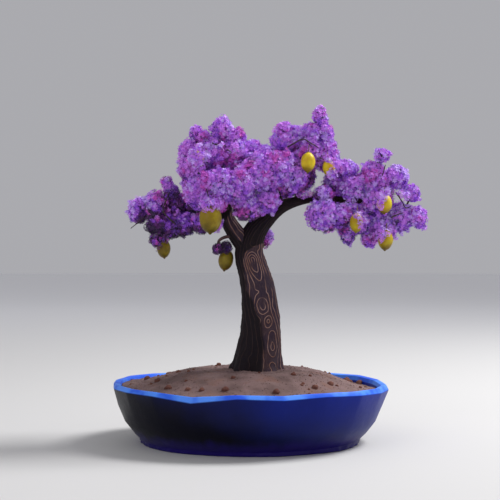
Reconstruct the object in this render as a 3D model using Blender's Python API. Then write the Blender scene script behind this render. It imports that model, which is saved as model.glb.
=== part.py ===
"""A flowering lemon bonsai in a shallow hand-shaped pot.

+Z is up, -Y is the tree's front and +X is on the right as it is seen from the front. The origin is at the
centre of the pot's flat underside. The trunk leans, forks and carries a long arching limb on the right and a
short steep one on the left. Boughs leave these two limbs and carry masses of blossom with lemons in them.

Every mass of blossom is a group of lobes, its own space. Its stem carries on from the bough's tip, twigs
lead from lobe to lobe, and each lobe has a core that sprays of blossom stand out of. A spray that would leave
the space of its mass, or touch a limb, isn't grown.
"""

import math
import random

import bmesh
import bpy
from mathutils import Vector

MM = 0.001
CLEAR = 0.3 * MM  # the gap between two pieces that touch on the real tree

# Pot: a bowl of hand-cut facets. Each pair is a radius and a height, in millimetres.
POT_SIDES = 20
POT_TURN = math.radians(-5)  # where the first edge between facets stands, from the front
POT_OUTSIDE = ((134.5, 0), (136, 5), (144, 12.5), (155.5, 27), (163.5, 46), (170, 67))
POT_LIP = ((167, 72.5), (161, 71.5))
POT_INSIDE = ((157, 60), (151, 40), (141, 20), (128, 10.5))
LIP_RISE_MM = (2, 0, 2, 0, -2, -3, -1, 1, -1, 2, 0, 2, -1, 1, 3, 2, 0, 1, 1, -4)
LIP_SPREAD_MM = (0, 1, -1, 1, 0, 1, -1, 0, 2, 0, -1, 1, 0, 1, 0, 1, -1, 0, 1, 1)
FOOT_SPREAD_MM = (1, 3, 1, 5, 2, 0, 2, 4, 1, 0, 3, 1, 0, 2, 1, 3, 0, 1, 2, 0)
LIP_EASE = 0.6  # how much of the rise at the lip's outer edge its inner rings keep
POT_SOFT_ANGLE = 22  # degrees, up to which two facets shade as one
DRAIN_RADIUS = 7 * MM
DRAIN_OFFSET = 62 * MM
DRAIN_SIDES, DRAIN_CUT = 12, 40 * MM

# Soil: a mound that fills the pot, higher on the left, and level where the trunk stands.
SOIL_EDGE_Z = 66.5 * MM
SOIL_TILT = 0.020  # fall from left to right, as a slope
GROUND_Z = 88 * MM
SOIL_RINGS = (0.93, 0.8, 0.62, 0.42)
SOIL_LEVEL = 0.42  # the share of the way to the wall where the mound starts to fall
SOIL_BUMP = 0.8 * MM
SOIL_WAVES = (90, 70)  # radians of the bumps in a metre, across and along
WALL_GAP = 0.55 * MM

# The trunk, which carries on as the right limb to the heart of the last mass: x, y, z and radius in mm.
MAIN = (
    (8.7, 0, 88.3, 34.5), (9.3, 0, 96, 31.0), (10.8, 0, 110, 28.0), (12.6, 0, 130, 25.2),
    (13.2, 1, 150, 23.6), (11.8, 2, 172, 21.8), (8.6, 3, 194, 20.2), (3.4, 3, 212, 18.6),
    (-0.8, 3, 230, 17.4), (1.5, 2, 248, 15.6), (9.5, 2, 263, 13.2), (20, 3, 275, 11.0),
    (31, 4, 284.5, 9.2), (44, 5, 291.5, 7.4), (59, 5, 296, 5.8), (74, 4, 298.5, 4.6),
    (92, 3, 299.5, 4.2), (110, 2, 298, 3.8), (128, 1, 296, 3.3), (156, -2, 297, 2.2),
)
# The left limb, from inside the fork to the heart of the upper left mass.
LEFT = (
    (-4, 1, 238, 11.5), (-12, 0, 249, 11.2), (-20, -2, 260, 10.4), (-27, -3, 273, 8.6),
    (-29, -3, 287, 6.6), (-30, -3, 303, 5.2), (-36, -6, 322, 4.2), (-45, -16, 352, 2.4),
)
TRUNK_SIDES, LIMB_SIDES, BOUGH_SIDES, TWIG_SIDES = 14, 10, 7, 3
STEPS, RING = 12, 6  # samples from one point of a limb to the next, and how many there are to each ring
ARM_CUT, ARM_BEND, LEFT_CUT = 11, 13, 3  # points of MAIN and LEFT where one solid ends and the next begins
ROOT_RIDGES, ROOT_RIDGE_DEPTH, FLARE_TOP = 5, 0.13, 120 * MM
ROOT_RIDGE_TURN, ROOT_RIDGE_SINK = 0.6, 0.25  # where the ridges stand, in radians, and how far they sink

# Blossom. Lobes are x, y, z and their three radii in mm; the first holds the mass's heart. Fruit is x, y, z,
# length and radius. A bough is x, y, z of the points that it passes on its way to the heart, and two radii.
CORE_SHARE = 0.93  # how far a lobe's core reaches, as a share of the lobe
CORE_AT_LEAST, CORE_STEP = 0.1, 0.03  # how small a core may get to keep its space, and in what steps
SPRAY_GIRTH = 0.29  # of the lobe's mean radius
SPRAY_ROOT, SPRAY_FOOT, SPRAY_TIP = 0.5, 1.06, (1.0, 1.08)  # as shares of the core, and of the lobe
SPRAYS_AT_MOST, FULL_LOBE = 0.62, 28 * MM  # share of a core's facets that bear a spray, and from what size on
SPACE_MARGIN = 0.05  # in shares of a lobe, between two masses
LIMB_MARGIN = 0.9 * MM
LEMON_MARGIN = 1.12  # as a share of a lemon, for the masses next to it
CROWDED_SHARE = 1.02  # how near another lobe of its own mass a spray isn't grown
LOBE_TWIG_RADIUS, STALK_RADIUS, TWIG_TIP = 1.7 * MM, 1.3 * MM, 0.7
STALK_FOOT = 0.36  # how far above its middle a stalk meets its lemon, as a share of its length
ENTRY_SHARE = 1.12  # where a bough ends and the stem of its mass begins
SEED = 7

CROWN = {
    "upper_left": {
        "lobes": (
            (-45, -16, 352, 24, 28, 20), (-18, -16, 353, 21, 26, 18), (-34, -18, 382, 14, 17, 17),
            (-17, -16, 373, 10, 11, 11), (-74, -20, 358, 12, 14, 12), (-66, -18, 379, 8.5, 8.5, 8),
            (-68, -16, 335, 21, 24, 20), (2, -12, 357, 12, 14, 12), (-56, -18, 371, 10, 12, 9),
        ),
        "fruit": ((-63, -44, 344, 24, 8.2),),
    },
    "lower_left": {
        "bough": (((-29, -4, 284), (-31, -20, 292), (-34, -36, 302), (-34, -52, 312)), (3.6, 2.2)),
        "lobes": (
            (-34, -52, 312, 26, 20, 22), (-61, -42, 305, 22, 20, 19), (-45, -56, 292, 17, 15, 12),
            (-10, -56, 315, 15, 14, 18), (-41, -52, 266, 8, 8, 10),
        ),
        "fruit": ((-47, -66, 272, 37, 13.3),),
    },
    "far_left": {
        "bough": (((-28, -3, 283), (-44, 2, 284), (-62, 2, 278), (-84, -6, 267)), (4.0, 2.2)),
        "lobes": (
            (-84, -6, 267, 19, 22, 15), (-109, -6, 267, 19, 20, 15), (-115, -12, 291, 16, 18, 19),
            (-137, -10, 283, 13.5, 14, 16), (-90, 4, 292, 15, 20, 16), (-70, 0, 292, 12, 16, 15),
            (-59, -22, 268, 14, 14, 12), (-112, -10, 250, 10, 10, 13), (-97, -12, 306, 9, 11, 9),
            (-101, -24, 317, 7.5, 7.5, 8),
        ),
        "fruit": ((-106, -12, 237, 25, 8.4),),
    },
    "back_left": {
        "bough": (((-30, -2, 296), (-33, 13, 305), (-36, 28, 316), (-42, 48, 332)), (3.8, 2.2)),
        "lobes": (
            (-42, 48, 332, 27, 27, 24), (-14, 52, 350, 24, 26, 22), (-68, 40, 318, 20, 22, 18),
            (-40, 70, 308, 21, 19, 17), (-50, 40, 364, 15, 17, 14),
        ),
        "fruit": ((-60, 60, 289, 26, 9.0),),
    },
    "centre": {
        "bough": (((26, 4, 280), (22, -10, 294), (16, -22, 310), (8, -36, 328)), (4.0, 2.2)),
        "lobes": (
            (8, -36, 328, 27, 24, 24), (36, -30, 335, 22, 22, 22), (-3, -36, 289, 20, 17, 20),
            (22, -36, 294, 15, 15, 15), (53, -26, 321, 17, 18, 17), (20, -24, 346, 14, 16, 14),
        ),
        "fruit": (),
    },
    "back_centre": {
        "bough": (((38, 5, 288), (37, 16, 299), (34, 28, 313), (30, 42, 330)), (3.8, 2.2)),
        "lobes": (
            (30, 42, 330, 24, 25, 22), (58, 38, 324, 19, 22, 19), (34, 62, 308, 22, 18, 18),
            (62, 42, 352, 19, 20, 17), (8, 16, 352, 15, 15, 15),
        ),
        "fruit": ((36, 80, 300, 26, 9.0),),
    },
    "top_right": {
        "bough": (((57, 5, 295.5), (60, 4, 307), (64, 1, 316), (68, -8, 323)), (3.8, 2.2)),
        "lobes": (
            (66, -8, 328, 13, 17, 18), (73, -6, 356, 22, 24, 20), (94, -8, 350, 13, 16, 18),
            (42, -8, 367, 18, 18, 14), (42, -10, 382, 9.5, 10, 10), (76, -8, 380, 14, 14, 12),
            (86, -10, 399, 9.5, 10, 15), (58, -8, 377, 11, 12, 10), (93, -8, 374, 9, 12, 14),
        ),
        "fruit": ((70, -41, 341, 26, 8.7), (96, -27, 335, 22, 7.6)),
    },
    "right_top": {
        "bough": (((97, 3, 299.5), (101, 5, 308), (105, 3, 320)), (2.8, 1.9)),
        "lobes": (
            (105, 3, 320, 13, 18, 13), (117, -2, 334, 15, 18, 14), (129, 0, 317, 17, 22, 14),
            (150, -6, 332, 14, 17, 14), (162, -10, 352, 10.5, 11, 8.5),
        ),
        "fruit": (),
    },
    "right_low": {
        "bough": (((101, 2, 299), (105, -8, 291), (110, -18, 277)), (2.8, 1.9)),
        "lobes": (
            (110, -18, 277, 18, 18, 14), (87, -24, 278, 21, 19, 20), (120, -8, 256, 10, 11, 15),
            (133, -22, 268, 14, 16, 14), (90, -18, 304, 11, 11, 11),
        ),
        "fruit": ((129, -35, 268, 26, 8.2),),
    },
    "right_end": {
        "lobes": (
            (156, -2, 297, 22, 25, 21), (181, -4, 325, 15, 18, 17), (199, -6, 305, 10.5, 12, 11),
            (186, 0, 276, 17, 19, 19), (207, -6, 275, 11.5, 13, 14), (163, -8, 261, 18, 20, 16),
            (148, -6, 249, 9, 10, 9), (159, -4, 321, 11, 14, 11),
        ),
        "fruit": ((163, -32, 291, 26, 9.4), (165, -26, 247, 26, 9.2)),
    },
    "back_right": {
        "bough": (((116, 2, 297.5), (119, 18, 297), (124, 34, 296), (132, 50, 294)), (2.8, 1.9)),
        "lobes": (
            (132, 50, 294, 23, 22, 20), (106, 52, 300, 17, 18, 16), (158, 46, 282, 17, 18, 16),
            (128, 44, 320, 15, 16, 12),
        ),
        "fruit": ((120, 56, 268, 26, 9.0),),
    },
    "twig_left": {
        "bough": (((-12, 0, 249), (-27, -6, 252), (-38, -7, 247), (-39, -4, 237)), (2.3, 1.4)),
        "lobes": ((-39, -4, 237, 6.5, 7, 6.5), (-30, 2, 238, 8, 8.5, 8)),
        "fruit": ((-30, 6, 223, 29, 9.2),),
    },
    "twig_right": {
        "bough": (((2, 3, 236), (9, 18, 236), (16, 25, 240), (22, 27, 251)), (2.3, 1.4)),
        "lobes": ((22, 27, 251, 7.5, 8, 11),),
        "fruit": (),
    },
}


# ---------------------------------------------------------------- scene, materials and meshes


def clear_scene():
    for thing in list(bpy.data.objects):
        bpy.data.objects.remove(thing)


def finish(name, colour, roughness, metallic=0.0):
    """A plain material with one colour, roughness and metallic value."""
    made = bpy.data.materials.new(name)
    made.use_nodes = True
    shader = made.node_tree.nodes["Principled BSDF"]
    shader.inputs["Base Color"].default_value = (*colour, 1.0)
    shader.inputs["Roughness"].default_value = roughness
    shader.inputs["Metallic"].default_value = metallic
    return made


def solid(name, points, faces, material, collection=None):
    """An object whose mesh has these points and faces, with its faces turned outwards."""
    mesh = bpy.data.meshes.new(name)
    mesh.from_pydata([tuple(p) for p in points], [], faces)
    shape = bmesh.new()
    shape.from_mesh(mesh)
    bmesh.ops.recalc_face_normals(shape, faces=shape.faces)
    shape.to_mesh(mesh)
    shape.free()
    mesh.materials.append(material)
    made = bpy.data.objects.new(name, mesh)
    (collection or bpy.context.scene.collection).objects.link(made)
    return made


def shade_round(thing, angle):
    thing.data.shade_smooth()
    thing.data.set_sharp_from_angle(angle=math.radians(angle))


def rings_to_faces(count, sides):
    """Quads between rings of this many points each, and a flat cap at each end."""
    faces = []
    for ring in range(count - 1):
        for side in range(sides):
            after = (side + 1) % sides
            low, high = ring * sides, (ring + 1) * sides
            faces.append((low + side, low + after, high + after, high + side))
    faces.append(tuple(range(sides)))
    faces.append(tuple(range((count - 1) * sides, count * sides)))
    return faces


def apply_modifiers(thing):
    """Bakes the modifiers of an object into its mesh, without bpy.ops."""
    graph = bpy.context.evaluated_depsgraph_get()
    baked = bpy.data.meshes.new_from_object(thing.evaluated_get(graph))
    thing.modifiers.clear()
    thing.data = baked


def prune(thing):
    """Drops whatever isn't joined to the body that has the most faces."""
    shape = bmesh.new()
    shape.from_mesh(thing.data)
    left, bodies = set(shape.faces), []
    while left:
        seed = left.pop()
        body, edge = {seed}, [seed]
        while edge:
            for side in edge.pop().edges:
                for face in side.link_faces:
                    if face in left:
                        left.discard(face)
                        body.add(face)
                        edge.append(face)
        bodies.append(body)
    bodies.sort(key=len)
    loose = [face for body in bodies[:-1] for face in body]
    bmesh.ops.delete(shape, geom=loose, context="FACES")
    shape.to_mesh(thing.data)
    shape.free()


# ---------------------------------------------------------------- pot and soil


def pot_ring(radius, height, spread=None, rise=None):
    """One ring of the pot's facets: a radius and height in mm, and what each corner adds to them."""
    ring = []
    for side in range(POT_SIDES):
        angle = POT_TURN + side * math.tau / POT_SIDES
        reach = (radius + (spread[side] if spread else 0)) * MM
        up = (height + (rise[side] if rise else 0)) * MM
        ring.append((reach * math.sin(angle), -reach * math.cos(angle), up))
    return ring


def pot_rings():
    """The rings of the pot from its underside, up the outside, over the lip and down to the inner floor."""
    half_spread = [s / 2 for s in LIP_SPREAD_MM]
    rings = []
    for number, (radius, height) in enumerate(POT_OUTSIDE):
        top = number == len(POT_OUTSIDE) - 1
        spread = FOOT_SPREAD_MM if number == 0 else LIP_SPREAD_MM if top else half_spread
        rings.append(pot_ring(radius, height, spread, LIP_RISE_MM if top else None))
    for radius, height in POT_LIP:
        rings.append(pot_ring(radius, height, half_spread, [rise * LIP_EASE for rise in LIP_RISE_MM]))
    for radius, height in POT_INSIDE:
        rings.append(pot_ring(radius, height))
    return rings


def build_pot(glaze):
    rings = pot_rings()
    points = [point for ring in rings for point in ring]
    pot = solid("pot", points, rings_to_faces(len(rings), POT_SIDES), glaze)
    shade_round(pot, POT_SOFT_ANGLE)
    for side in (-1, 1):
        drain = bmesh.new()
        round_cut = {"segments": DRAIN_SIDES, "radius1": DRAIN_RADIUS, "radius2": DRAIN_RADIUS}
        bmesh.ops.create_cone(drain, cap_ends=True, depth=DRAIN_CUT, **round_cut)
        mesh = bpy.data.meshes.new("drain_hole")
        drain.to_mesh(mesh)
        drain.free()
        cutter = bpy.data.objects.new("drain_hole", mesh)
        cutter.location = (side * DRAIN_OFFSET, 0, 0)
        cutter.hide_render = True
        cutter.display_type = "WIRE"
        bpy.context.scene.collection.objects.link(cutter)
        cut = pot.modifiers.new("drain", "BOOLEAN")
        cut.operation, cut.object = "DIFFERENCE", cutter


def soil_height(x, y, share):
    """Height of the soil where share runs from 0 at the middle to 1 at the pot's wall."""
    edge = SOIL_EDGE_Z - SOIL_TILT * x
    mound = 0.5 + 0.5 * math.cos(math.pi * max(0.0, (share - SOIL_LEVEL) / (1 - SOIL_LEVEL)))
    bumps = SOIL_BUMP * math.sin(x * SOIL_WAVES[0]) * math.cos(y * SOIL_WAVES[1]) * (1 - mound)
    return edge + (GROUND_Z - edge) * mound + bumps


def inner_radius(height):
    """The pot's inner radius at a height, in metres."""
    walls = [POT_LIP[-1], *POT_INSIDE]
    for (upper, top), (lower, bottom) in zip(walls, walls[1:]):
        if height >= bottom * MM or bottom == walls[-1][1]:
            share = (height - bottom * MM) / ((top - bottom) * MM)
            return (lower + (upper - lower) * min(share, 1.0)) * MM
    return walls[-1][0] * MM


def build_soil(earth):
    """The soil, whose sides and underside stand clear of the pot's wall and floor."""
    rings = []
    wall_heights = [h for _, h in reversed(POT_INSIDE)]
    for height in (wall_heights[0] + CLEAR / MM, *wall_heights[1:]):
        rings.append(pot_ring((inner_radius(height * MM) - WALL_GAP) / MM, height))
    for share in (1.0, *SOIL_RINGS):
        ring = []
        for x, y, _ in pot_ring(share / MM, 0):
            reach = inner_radius(SOIL_EDGE_Z - SOIL_TILT * x * inner_radius(SOIL_EDGE_Z)) - 2 * WALL_GAP
            ring.append((x * reach, y * reach, soil_height(x * reach, y * reach, share)))
        rings.append(ring)
    points = [point for ring in rings for point in ring]
    soil = solid("soil", points, rings_to_faces(len(rings), POT_SIDES), earth)
    shade_round(soil, 50)


# ---------------------------------------------------------------- limbs


def smooth_path(points):
    """One smooth curve through these points, as framed samples.

    A sample is a place and a radius, in metres, the direction that the limb runs in, and two directions
    across it, which turn as little as possible on the way.
    """
    rows = [Vector(point) * MM for point in points]
    padded = [rows[0] * 2 - rows[1], *rows, rows[-1] * 2 - rows[-2]]
    path = []
    for a, b, c, d in zip(padded, padded[1:], padded[2:], padded[3:]):
        for step in range(STEPS):
            t = step / STEPS
            bend, twist = 2 * a - 5 * b + 4 * c - d, 3 * b - a - 3 * c + d
            path.append((2 * b + (c - a) * t + bend * t**2 + twist * t**3) / 2)
    path.append(rows[-1])
    samples = []
    across = Vector((0, 1, 0))
    for k, row in enumerate(path):
        along = (path[min(k + 1, len(path) - 1)] - path[max(k - 1, 0)]).xyz.normalized()
        across = (across - along * across.dot(along)).normalized()
        samples.append((row.xyz, row.w, along, across, along.cross(across)))
    return samples


def bough_path(points, radii):
    """A bough's samples, its radius falling evenly from one point to the next."""
    last = len(points) - 1
    return smooth_path([(*p, radii[0] + (radii[1] - radii[0]) * k / last) for k, p in enumerate(points)])


def trunk_path():
    """The trunk and right limb, with the trunk's foot square to the ground."""
    place, radius, *_ = (samples := smooth_path(MAIN))[0]
    samples[0] = (place, radius, Vector((0, 0, 1)), Vector((0, 1, 0)), Vector((-1, 0, 0)))
    return samples


def tube(name, samples, sides, material, collection=None, grow=0.0, starts_clear=False):
    """A solid round these samples. Where it carries on from another solid, its first ring stands clear."""
    points = []
    for k, (place, radius, along, across, over) in enumerate(samples):
        if k == 0 and starts_clear:
            place = place + along * CLEAR
        for side in range(sides):
            angle = side * math.tau / sides
            reach = radius * root_ridge(place, angle, sides) + grow
            points.append(place + (across * math.cos(angle) + over * math.sin(angle)) * reach)
    return solid(name, points, rings_to_faces(len(samples), sides), material, collection)


def root_ridge(place, angle, sides):
    """How far the trunk's foot stands out between its root ridges. It is 1 away from the foot."""
    if sides != TRUNK_SIDES:
        return 1.0
    low = max(0.0, min(1.0, (FLARE_TOP - place.z) / (FLARE_TOP - GROUND_Z)))
    ridges = math.cos(ROOT_RIDGES * angle + ROOT_RIDGE_TURN) - ROOT_RIDGE_SINK
    return 1.0 + ROOT_RIDGE_DEPTH * low**1.5 * ridges


def split_at_mass(samples, start, lobes):
    """The rings of a limb from a sample on to where it comes into a mass, and of its stem from there on."""
    cut = max(k for k in range(len(samples)) if k <= start or nearness(samples[k][0], lobes) > ENTRY_SHARE)
    outside = [samples[k] for k in range(start, cut - 2, RING)] + [samples[cut]]
    inside = [k for k in range(0, len(samples) - 3, RING) if k - cut > 2]
    return outside, [samples[k] for k in (cut, *inside, len(samples) - 1)]


def build_limbs(bark):
    """The trunk with its fork, the two limbs, and a bough for each mass. Returns stems and limb samples."""
    main, left = trunk_path(), smooth_path(LEFT)
    arm, bend, fork = ARM_CUT * STEPS, ARM_BEND * STEPS, LEFT_CUT * STEPS
    stems = {}
    upper_arm, stems["right_end"] = split_at_mass(main, bend, lobes_of("right_end"))
    left_arm, stems["upper_left"] = split_at_mass(left, fork, lobes_of("upper_left"))
    runs = {
        "trunk": (main[: arm + 1 : RING], TRUNK_SIDES),
        "fork_stub": (left[: fork + 1 : RING], LIMB_SIDES),
        "right_limb_lower": (main[arm : bend + 1 : RING], LIMB_SIDES),
        "right_limb_upper": (upper_arm, LIMB_SIDES),
        "left_limb": (left_arm, LIMB_SIDES),
    }
    solids = {}
    for name, (samples, sides) in runs.items():
        solids[name] = tube(name, samples, sides, bark, starts_clear="limb" in name)
    join = solids["trunk"].modifiers.new("fork", "BOOLEAN")
    join.operation, join.object = "UNION", solids["fork_stub"]
    apply_modifiers(solids["trunk"])
    bpy.data.objects.remove(solids.pop("fork_stub"))
    for limb in solids.values():
        shade_round(limb, 40)

    cutters = []
    for name, (samples, sides) in runs.items():
        grow = CLEAR * 1.1 / math.cos(math.pi / sides)
        cutters.append(tube(f"clear_of_{name}", samples, sides, bark, grow=grow))
        cutters[-1].hide_render = True
        cutters[-1].display_type = "WIRE"
    limbs = [main[: main.index(upper_arm[-1])], left[: left.index(left_arm[-1])]]
    for name, mass in CROWN.items():
        if "bough" not in mass:
            continue
        samples = bough_path(*mass["bough"])
        outside, stems[name] = split_at_mass(samples, 0, lobes_of(name))
        bough = tube(name if name.startswith("twig") else f"bough_{name}", outside, BOUGH_SIDES, bark)
        for number, cutter in enumerate(cutters):
            cut = bough.modifiers.new(f"clear_{number}", "BOOLEAN")
            cut.operation, cut.object = "DIFFERENCE", cutter
        limbs.append(samples[: samples.index(outside[-1])])
    return stems, limbs


# ---------------------------------------------------------------- blossom


def lobes_of(name):
    """The lobes of a mass as (centre, radii) in metres."""
    return [(Vector(lobe[:3]) * MM, Vector(lobe[3:]) * MM) for lobe in CROWN[name]["lobes"]]


def fruit_of(name):
    """The lemons of a mass as (centre, length, radius) in metres."""
    return [(Vector(f[:3]) * MM, f[3] * MM, f[4] * MM) for f in CROWN[name]["fruit"]]


def share_of(place, centre, radii):
    """How far out a place lies in a lobe: 0 at its centre and 1 on its surface."""
    off = place - centre
    return Vector((off.x / radii.x, off.y / radii.y, off.z / radii.z)).length


def nearness(place, lobes):
    return min(share_of(place, centre, radii) for centre, radii in lobes)


def limb_gap(place, paths):
    """Clear distance from a place to the nearest limb."""
    return min((place - point).length - radius for path in paths for point, radius, *_ in path)


def keeps_space(place, own, others, paths):
    """Whether a place is in the space of its own mass and clear of every limb."""
    near = nearness(place, own)
    return near + SPACE_MARGIN < nearness(place, others) and limb_gap(place, paths) > LIMB_MARGIN


def build_core(name, centre, radii, own, others, paths, material, collection):
    """A lobe's core: a faceted ball whose points are drawn in until they keep to the mass's space.

    Returns the middle of each facet, where a spray can stand.
    """
    ball = bmesh.new()
    bmesh.ops.create_icosphere(ball, subdivisions=1, radius=1.0)
    for vertex in ball.verts:
        reach = CORE_SHARE
        out = Vector((vertex.co.x * radii.x, vertex.co.y * radii.y, vertex.co.z * radii.z))
        while reach > CORE_AT_LEAST and not keeps_space(centre + out * reach, own, others, paths):
            reach -= CORE_STEP
        vertex.co = centre + out * reach
    spots = [face.calc_center_median() for face in ball.faces]
    mesh = bpy.data.meshes.new(name)
    ball.to_mesh(mesh)
    ball.free()
    mesh.materials.append(material)
    collection.objects.link(bpy.data.objects.new(name, mesh))
    return spots


def spray_points(centre, radii, spot, dice):
    """The five corners of a spray: its root, sunk in the core, three round its foot, and its tip."""
    girth = SPRAY_GIRTH * (radii.x * radii.y * radii.z) ** (1 / 3)
    root, foot = centre.lerp(spot, SPRAY_ROOT), centre.lerp(spot, SPRAY_FOOT)
    tip = centre + (spot - centre) / share_of(spot, centre, radii) * dice.uniform(*SPRAY_TIP)
    along = (tip - root).normalized()
    across = along.orthogonal().normalized()
    over = along.cross(across)
    turn = dice.uniform(0, math.tau)
    ring = []
    for corner in range(3):
        angle = turn + corner * math.tau / 3
        ring.append(foot + (across * math.cos(angle) + over * math.sin(angle)) * girth)
    return [root, *ring, tip]


SPRAY_FACES = [(0, 2, 1), (0, 3, 2), (0, 1, 3), (4, 1, 2), (4, 2, 3), (4, 3, 1)]
LEMON_SIDES = 7
LEMON_PROFILE = ((0.12, -0.5), (0.74, -0.28), (1.0, 0.02), (0.72, 0.32), (0.2, 0.48))


def build_lemon(name, centre, length, radius, material, collection):
    """A lemon that hangs with its nipple down."""
    points = []
    for share, level in LEMON_PROFILE:
        for side in range(LEMON_SIDES):
            angle = side * math.tau / LEMON_SIDES
            out = Vector((math.cos(angle), math.sin(angle), 0)) * radius * share
            points.append(centre + out + Vector((0, 0, level * length)))
    solid(name, points, rings_to_faces(len(LEMON_PROFILE), LEMON_SIDES), material, collection)


def twig(name, start, end, radius, sides, material, collection):
    """A straight twig that thins towards its end and is sunk a little past both ends."""
    along = (end - start).normalized()
    across = along.orthogonal().normalized()
    frame = (along, across, along.cross(across))
    tube(name, [(start, radius, *frame), (end, radius * TWIG_TIP, *frame)], sides, material, collection)


def build_mass(name, stem, paths, material):
    """One mass: stem, twigs from lobe to lobe, cores, sprays and lemons, joined in one solid."""
    dice = random.Random(f"{SEED}{name}")
    own = lobes_of(name)
    others = [lobe for other in CROWN if other != name for lobe in lobes_of(other)]
    others += [
        (centre, Vector((radius, radius, length / 2)) * LEMON_MARGIN)
        for other in CROWN if other != name for centre, length, radius in fruit_of(other)
    ]
    group = bpy.data.collections.new(f"pieces_of_{name}")
    bpy.context.scene.collection.children.link(group)

    for number, (centre, radii) in enumerate(own):
        if number:
            parent = min(own[:number], key=lambda lobe: (lobe[0] - centre).length)
            twig("lobe_twig", parent[0], centre, LOBE_TWIG_RADIUS, TWIG_SIDES, material, group)
        spots = build_core("core", centre, radii, own, others, paths, material, group)
        elsewhere = own[:number] + own[number + 1 :]
        share = min(SPRAYS_AT_MOST, min(radii) / FULL_LOBE)
        for spot in spots:
            if dice.random() > share:
                continue
            points = spray_points(centre, radii, spot, dice)
            crowded = elsewhere and nearness(points[-1], elsewhere) < CROWDED_SHARE
            edges = [(a + b) / 2 for a in points[1:] for b in points[1:] if a is not b]
            if crowded or not all(keeps_space(point, own, others, paths) for point in points[1:] + edges):
                continue
            solid("spray", points, SPRAY_FACES, material, group)
    for centre, length, radius in fruit_of(name):
        build_lemon("lemon", centre, length, radius, material, group)
        top = centre + Vector((0, 0, length * STALK_FOOT))
        parent = min(own, key=lambda lobe: (lobe[0] - top).length)
        twig("stalk", parent[0], top, STALK_RADIUS, TWIG_SIDES, material, group)

    blossom_name = name if name.startswith("twig") else f"mass_{name}"
    mass = tube(blossom_name.replace("twig_", "mass_twig_"), stem, BOUGH_SIDES, material, starts_clear=True)
    join = mass.modifiers.new("joined", "BOOLEAN")
    join.operation, join.operand_type, join.collection = "UNION", "COLLECTION", group
    join.solver = "MANIFOLD"
    apply_modifiers(mass)
    prune(mass)
    for piece in list(group.objects):
        bpy.data.objects.remove(piece)
    bpy.data.collections.remove(group)


def main():
    clear_scene()
    build_pot(finish("blue_glaze", (0.045, 0.11, 0.42), 0.32))
    build_soil(finish("earth", (0.13, 0.075, 0.055), 0.95))
    bark = finish("bark", (0.055, 0.038, 0.036), 0.8)
    stems, paths = build_limbs(bark)
    blossom = finish("blossom", (0.42, 0.18, 0.62), 0.75)
    for name in CROWN:
        build_mass(name, stems[name], paths, blossom)


main()
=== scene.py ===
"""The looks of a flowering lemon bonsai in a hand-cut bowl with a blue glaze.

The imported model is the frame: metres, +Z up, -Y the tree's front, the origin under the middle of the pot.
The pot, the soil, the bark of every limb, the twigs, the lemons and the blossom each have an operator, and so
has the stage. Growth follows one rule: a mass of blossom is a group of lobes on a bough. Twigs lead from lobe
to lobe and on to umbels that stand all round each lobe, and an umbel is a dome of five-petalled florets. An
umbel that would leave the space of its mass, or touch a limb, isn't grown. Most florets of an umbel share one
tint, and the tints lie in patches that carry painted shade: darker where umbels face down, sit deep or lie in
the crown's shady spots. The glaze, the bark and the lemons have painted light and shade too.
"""

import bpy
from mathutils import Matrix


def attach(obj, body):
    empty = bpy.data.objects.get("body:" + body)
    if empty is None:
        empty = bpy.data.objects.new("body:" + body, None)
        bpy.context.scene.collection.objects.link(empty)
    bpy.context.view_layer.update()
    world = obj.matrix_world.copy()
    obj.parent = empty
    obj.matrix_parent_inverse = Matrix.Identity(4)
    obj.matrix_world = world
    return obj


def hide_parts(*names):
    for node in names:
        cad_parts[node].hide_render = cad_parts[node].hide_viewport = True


bl_info = {
    "name": "Flowering lemon bonsai",
    "version": (1, 0, 0),
    "blender": (4, 5, 0),
    "location": "3D View > Sidebar > Bonsai",
    "description": "Dresses a packed bonsai with glaze, soil, carved bark, twigs, lemons and blossom",
    "category": "Add Mesh",
}

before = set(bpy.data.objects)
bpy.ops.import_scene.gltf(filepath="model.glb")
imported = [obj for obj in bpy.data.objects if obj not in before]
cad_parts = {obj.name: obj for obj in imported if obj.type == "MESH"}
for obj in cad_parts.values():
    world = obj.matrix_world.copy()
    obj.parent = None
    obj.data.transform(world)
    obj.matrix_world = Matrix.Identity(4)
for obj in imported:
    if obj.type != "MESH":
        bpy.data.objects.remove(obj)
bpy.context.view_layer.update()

import math
import random

import bmesh
import bpy
from bpy.props import FloatProperty, FloatVectorProperty, IntProperty, PointerProperty
from bpy.types import Operator, Panel, PropertyGroup
from mathutils import Euler, Vector, noise

MM = 0.001
BODY = "root"
SEED = 7
GOLDEN = math.pi * (3 - math.sqrt(5))  # the turn from one umbel to the next round a lobe


def paint(red, green, blue):
    """A linear colour from its three sRGB bytes."""
    shares = (value / 255 for value in (red, green, blue))
    return tuple(s / 12.92 if s <= 0.04045 else ((s + 0.055) / 1.055) ** 2.4 for s in shares)


# Pot: a bowl of hand-cut facets. Each pair is a radius and a height, in millimetres.
POT_SIDES = 20
POT_TURN = math.radians(-5)  # where the first edge between facets stands, from the front
POT_OUTSIDE = ((134.5, 0), (136, 5), (144, 12.5), (155.5, 27), (163.5, 46), (170, 67))
POT_LIP = ((167, 72.5), (161, 71.5))
POT_INSIDE = ((157, 60), (151, 40), (141, 20), (128, 10.5))
LIP_RISE_MM = (2, 0, 2, 0, -2, -3, -1, 1, -1, 2, 0, 2, -1, 1, 3, 2, 0, 1, 1, -4)
LIP_SPREAD_MM = (0, 1, -1, 1, 0, 1, -1, 0, 2, 0, -1, 1, 0, 1, 0, 1, -1, 0, 1, 1)
FOOT_SPREAD_MM = (1, 3, 1, 5, 2, 0, 2, 4, 1, 0, 3, 1, 0, 2, 1, 3, 0, 1, 2, 0)
LIP_EASE = 0.6  # how much of the rise at the lip's outer edge its inner rings keep
POT_FINER = 8  # points for each facet of the pot
WALL_ROUND, LIP_ROUND = 0.9, 0.25  # how far the facets of the wall and of the lip swell towards an arc
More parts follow.
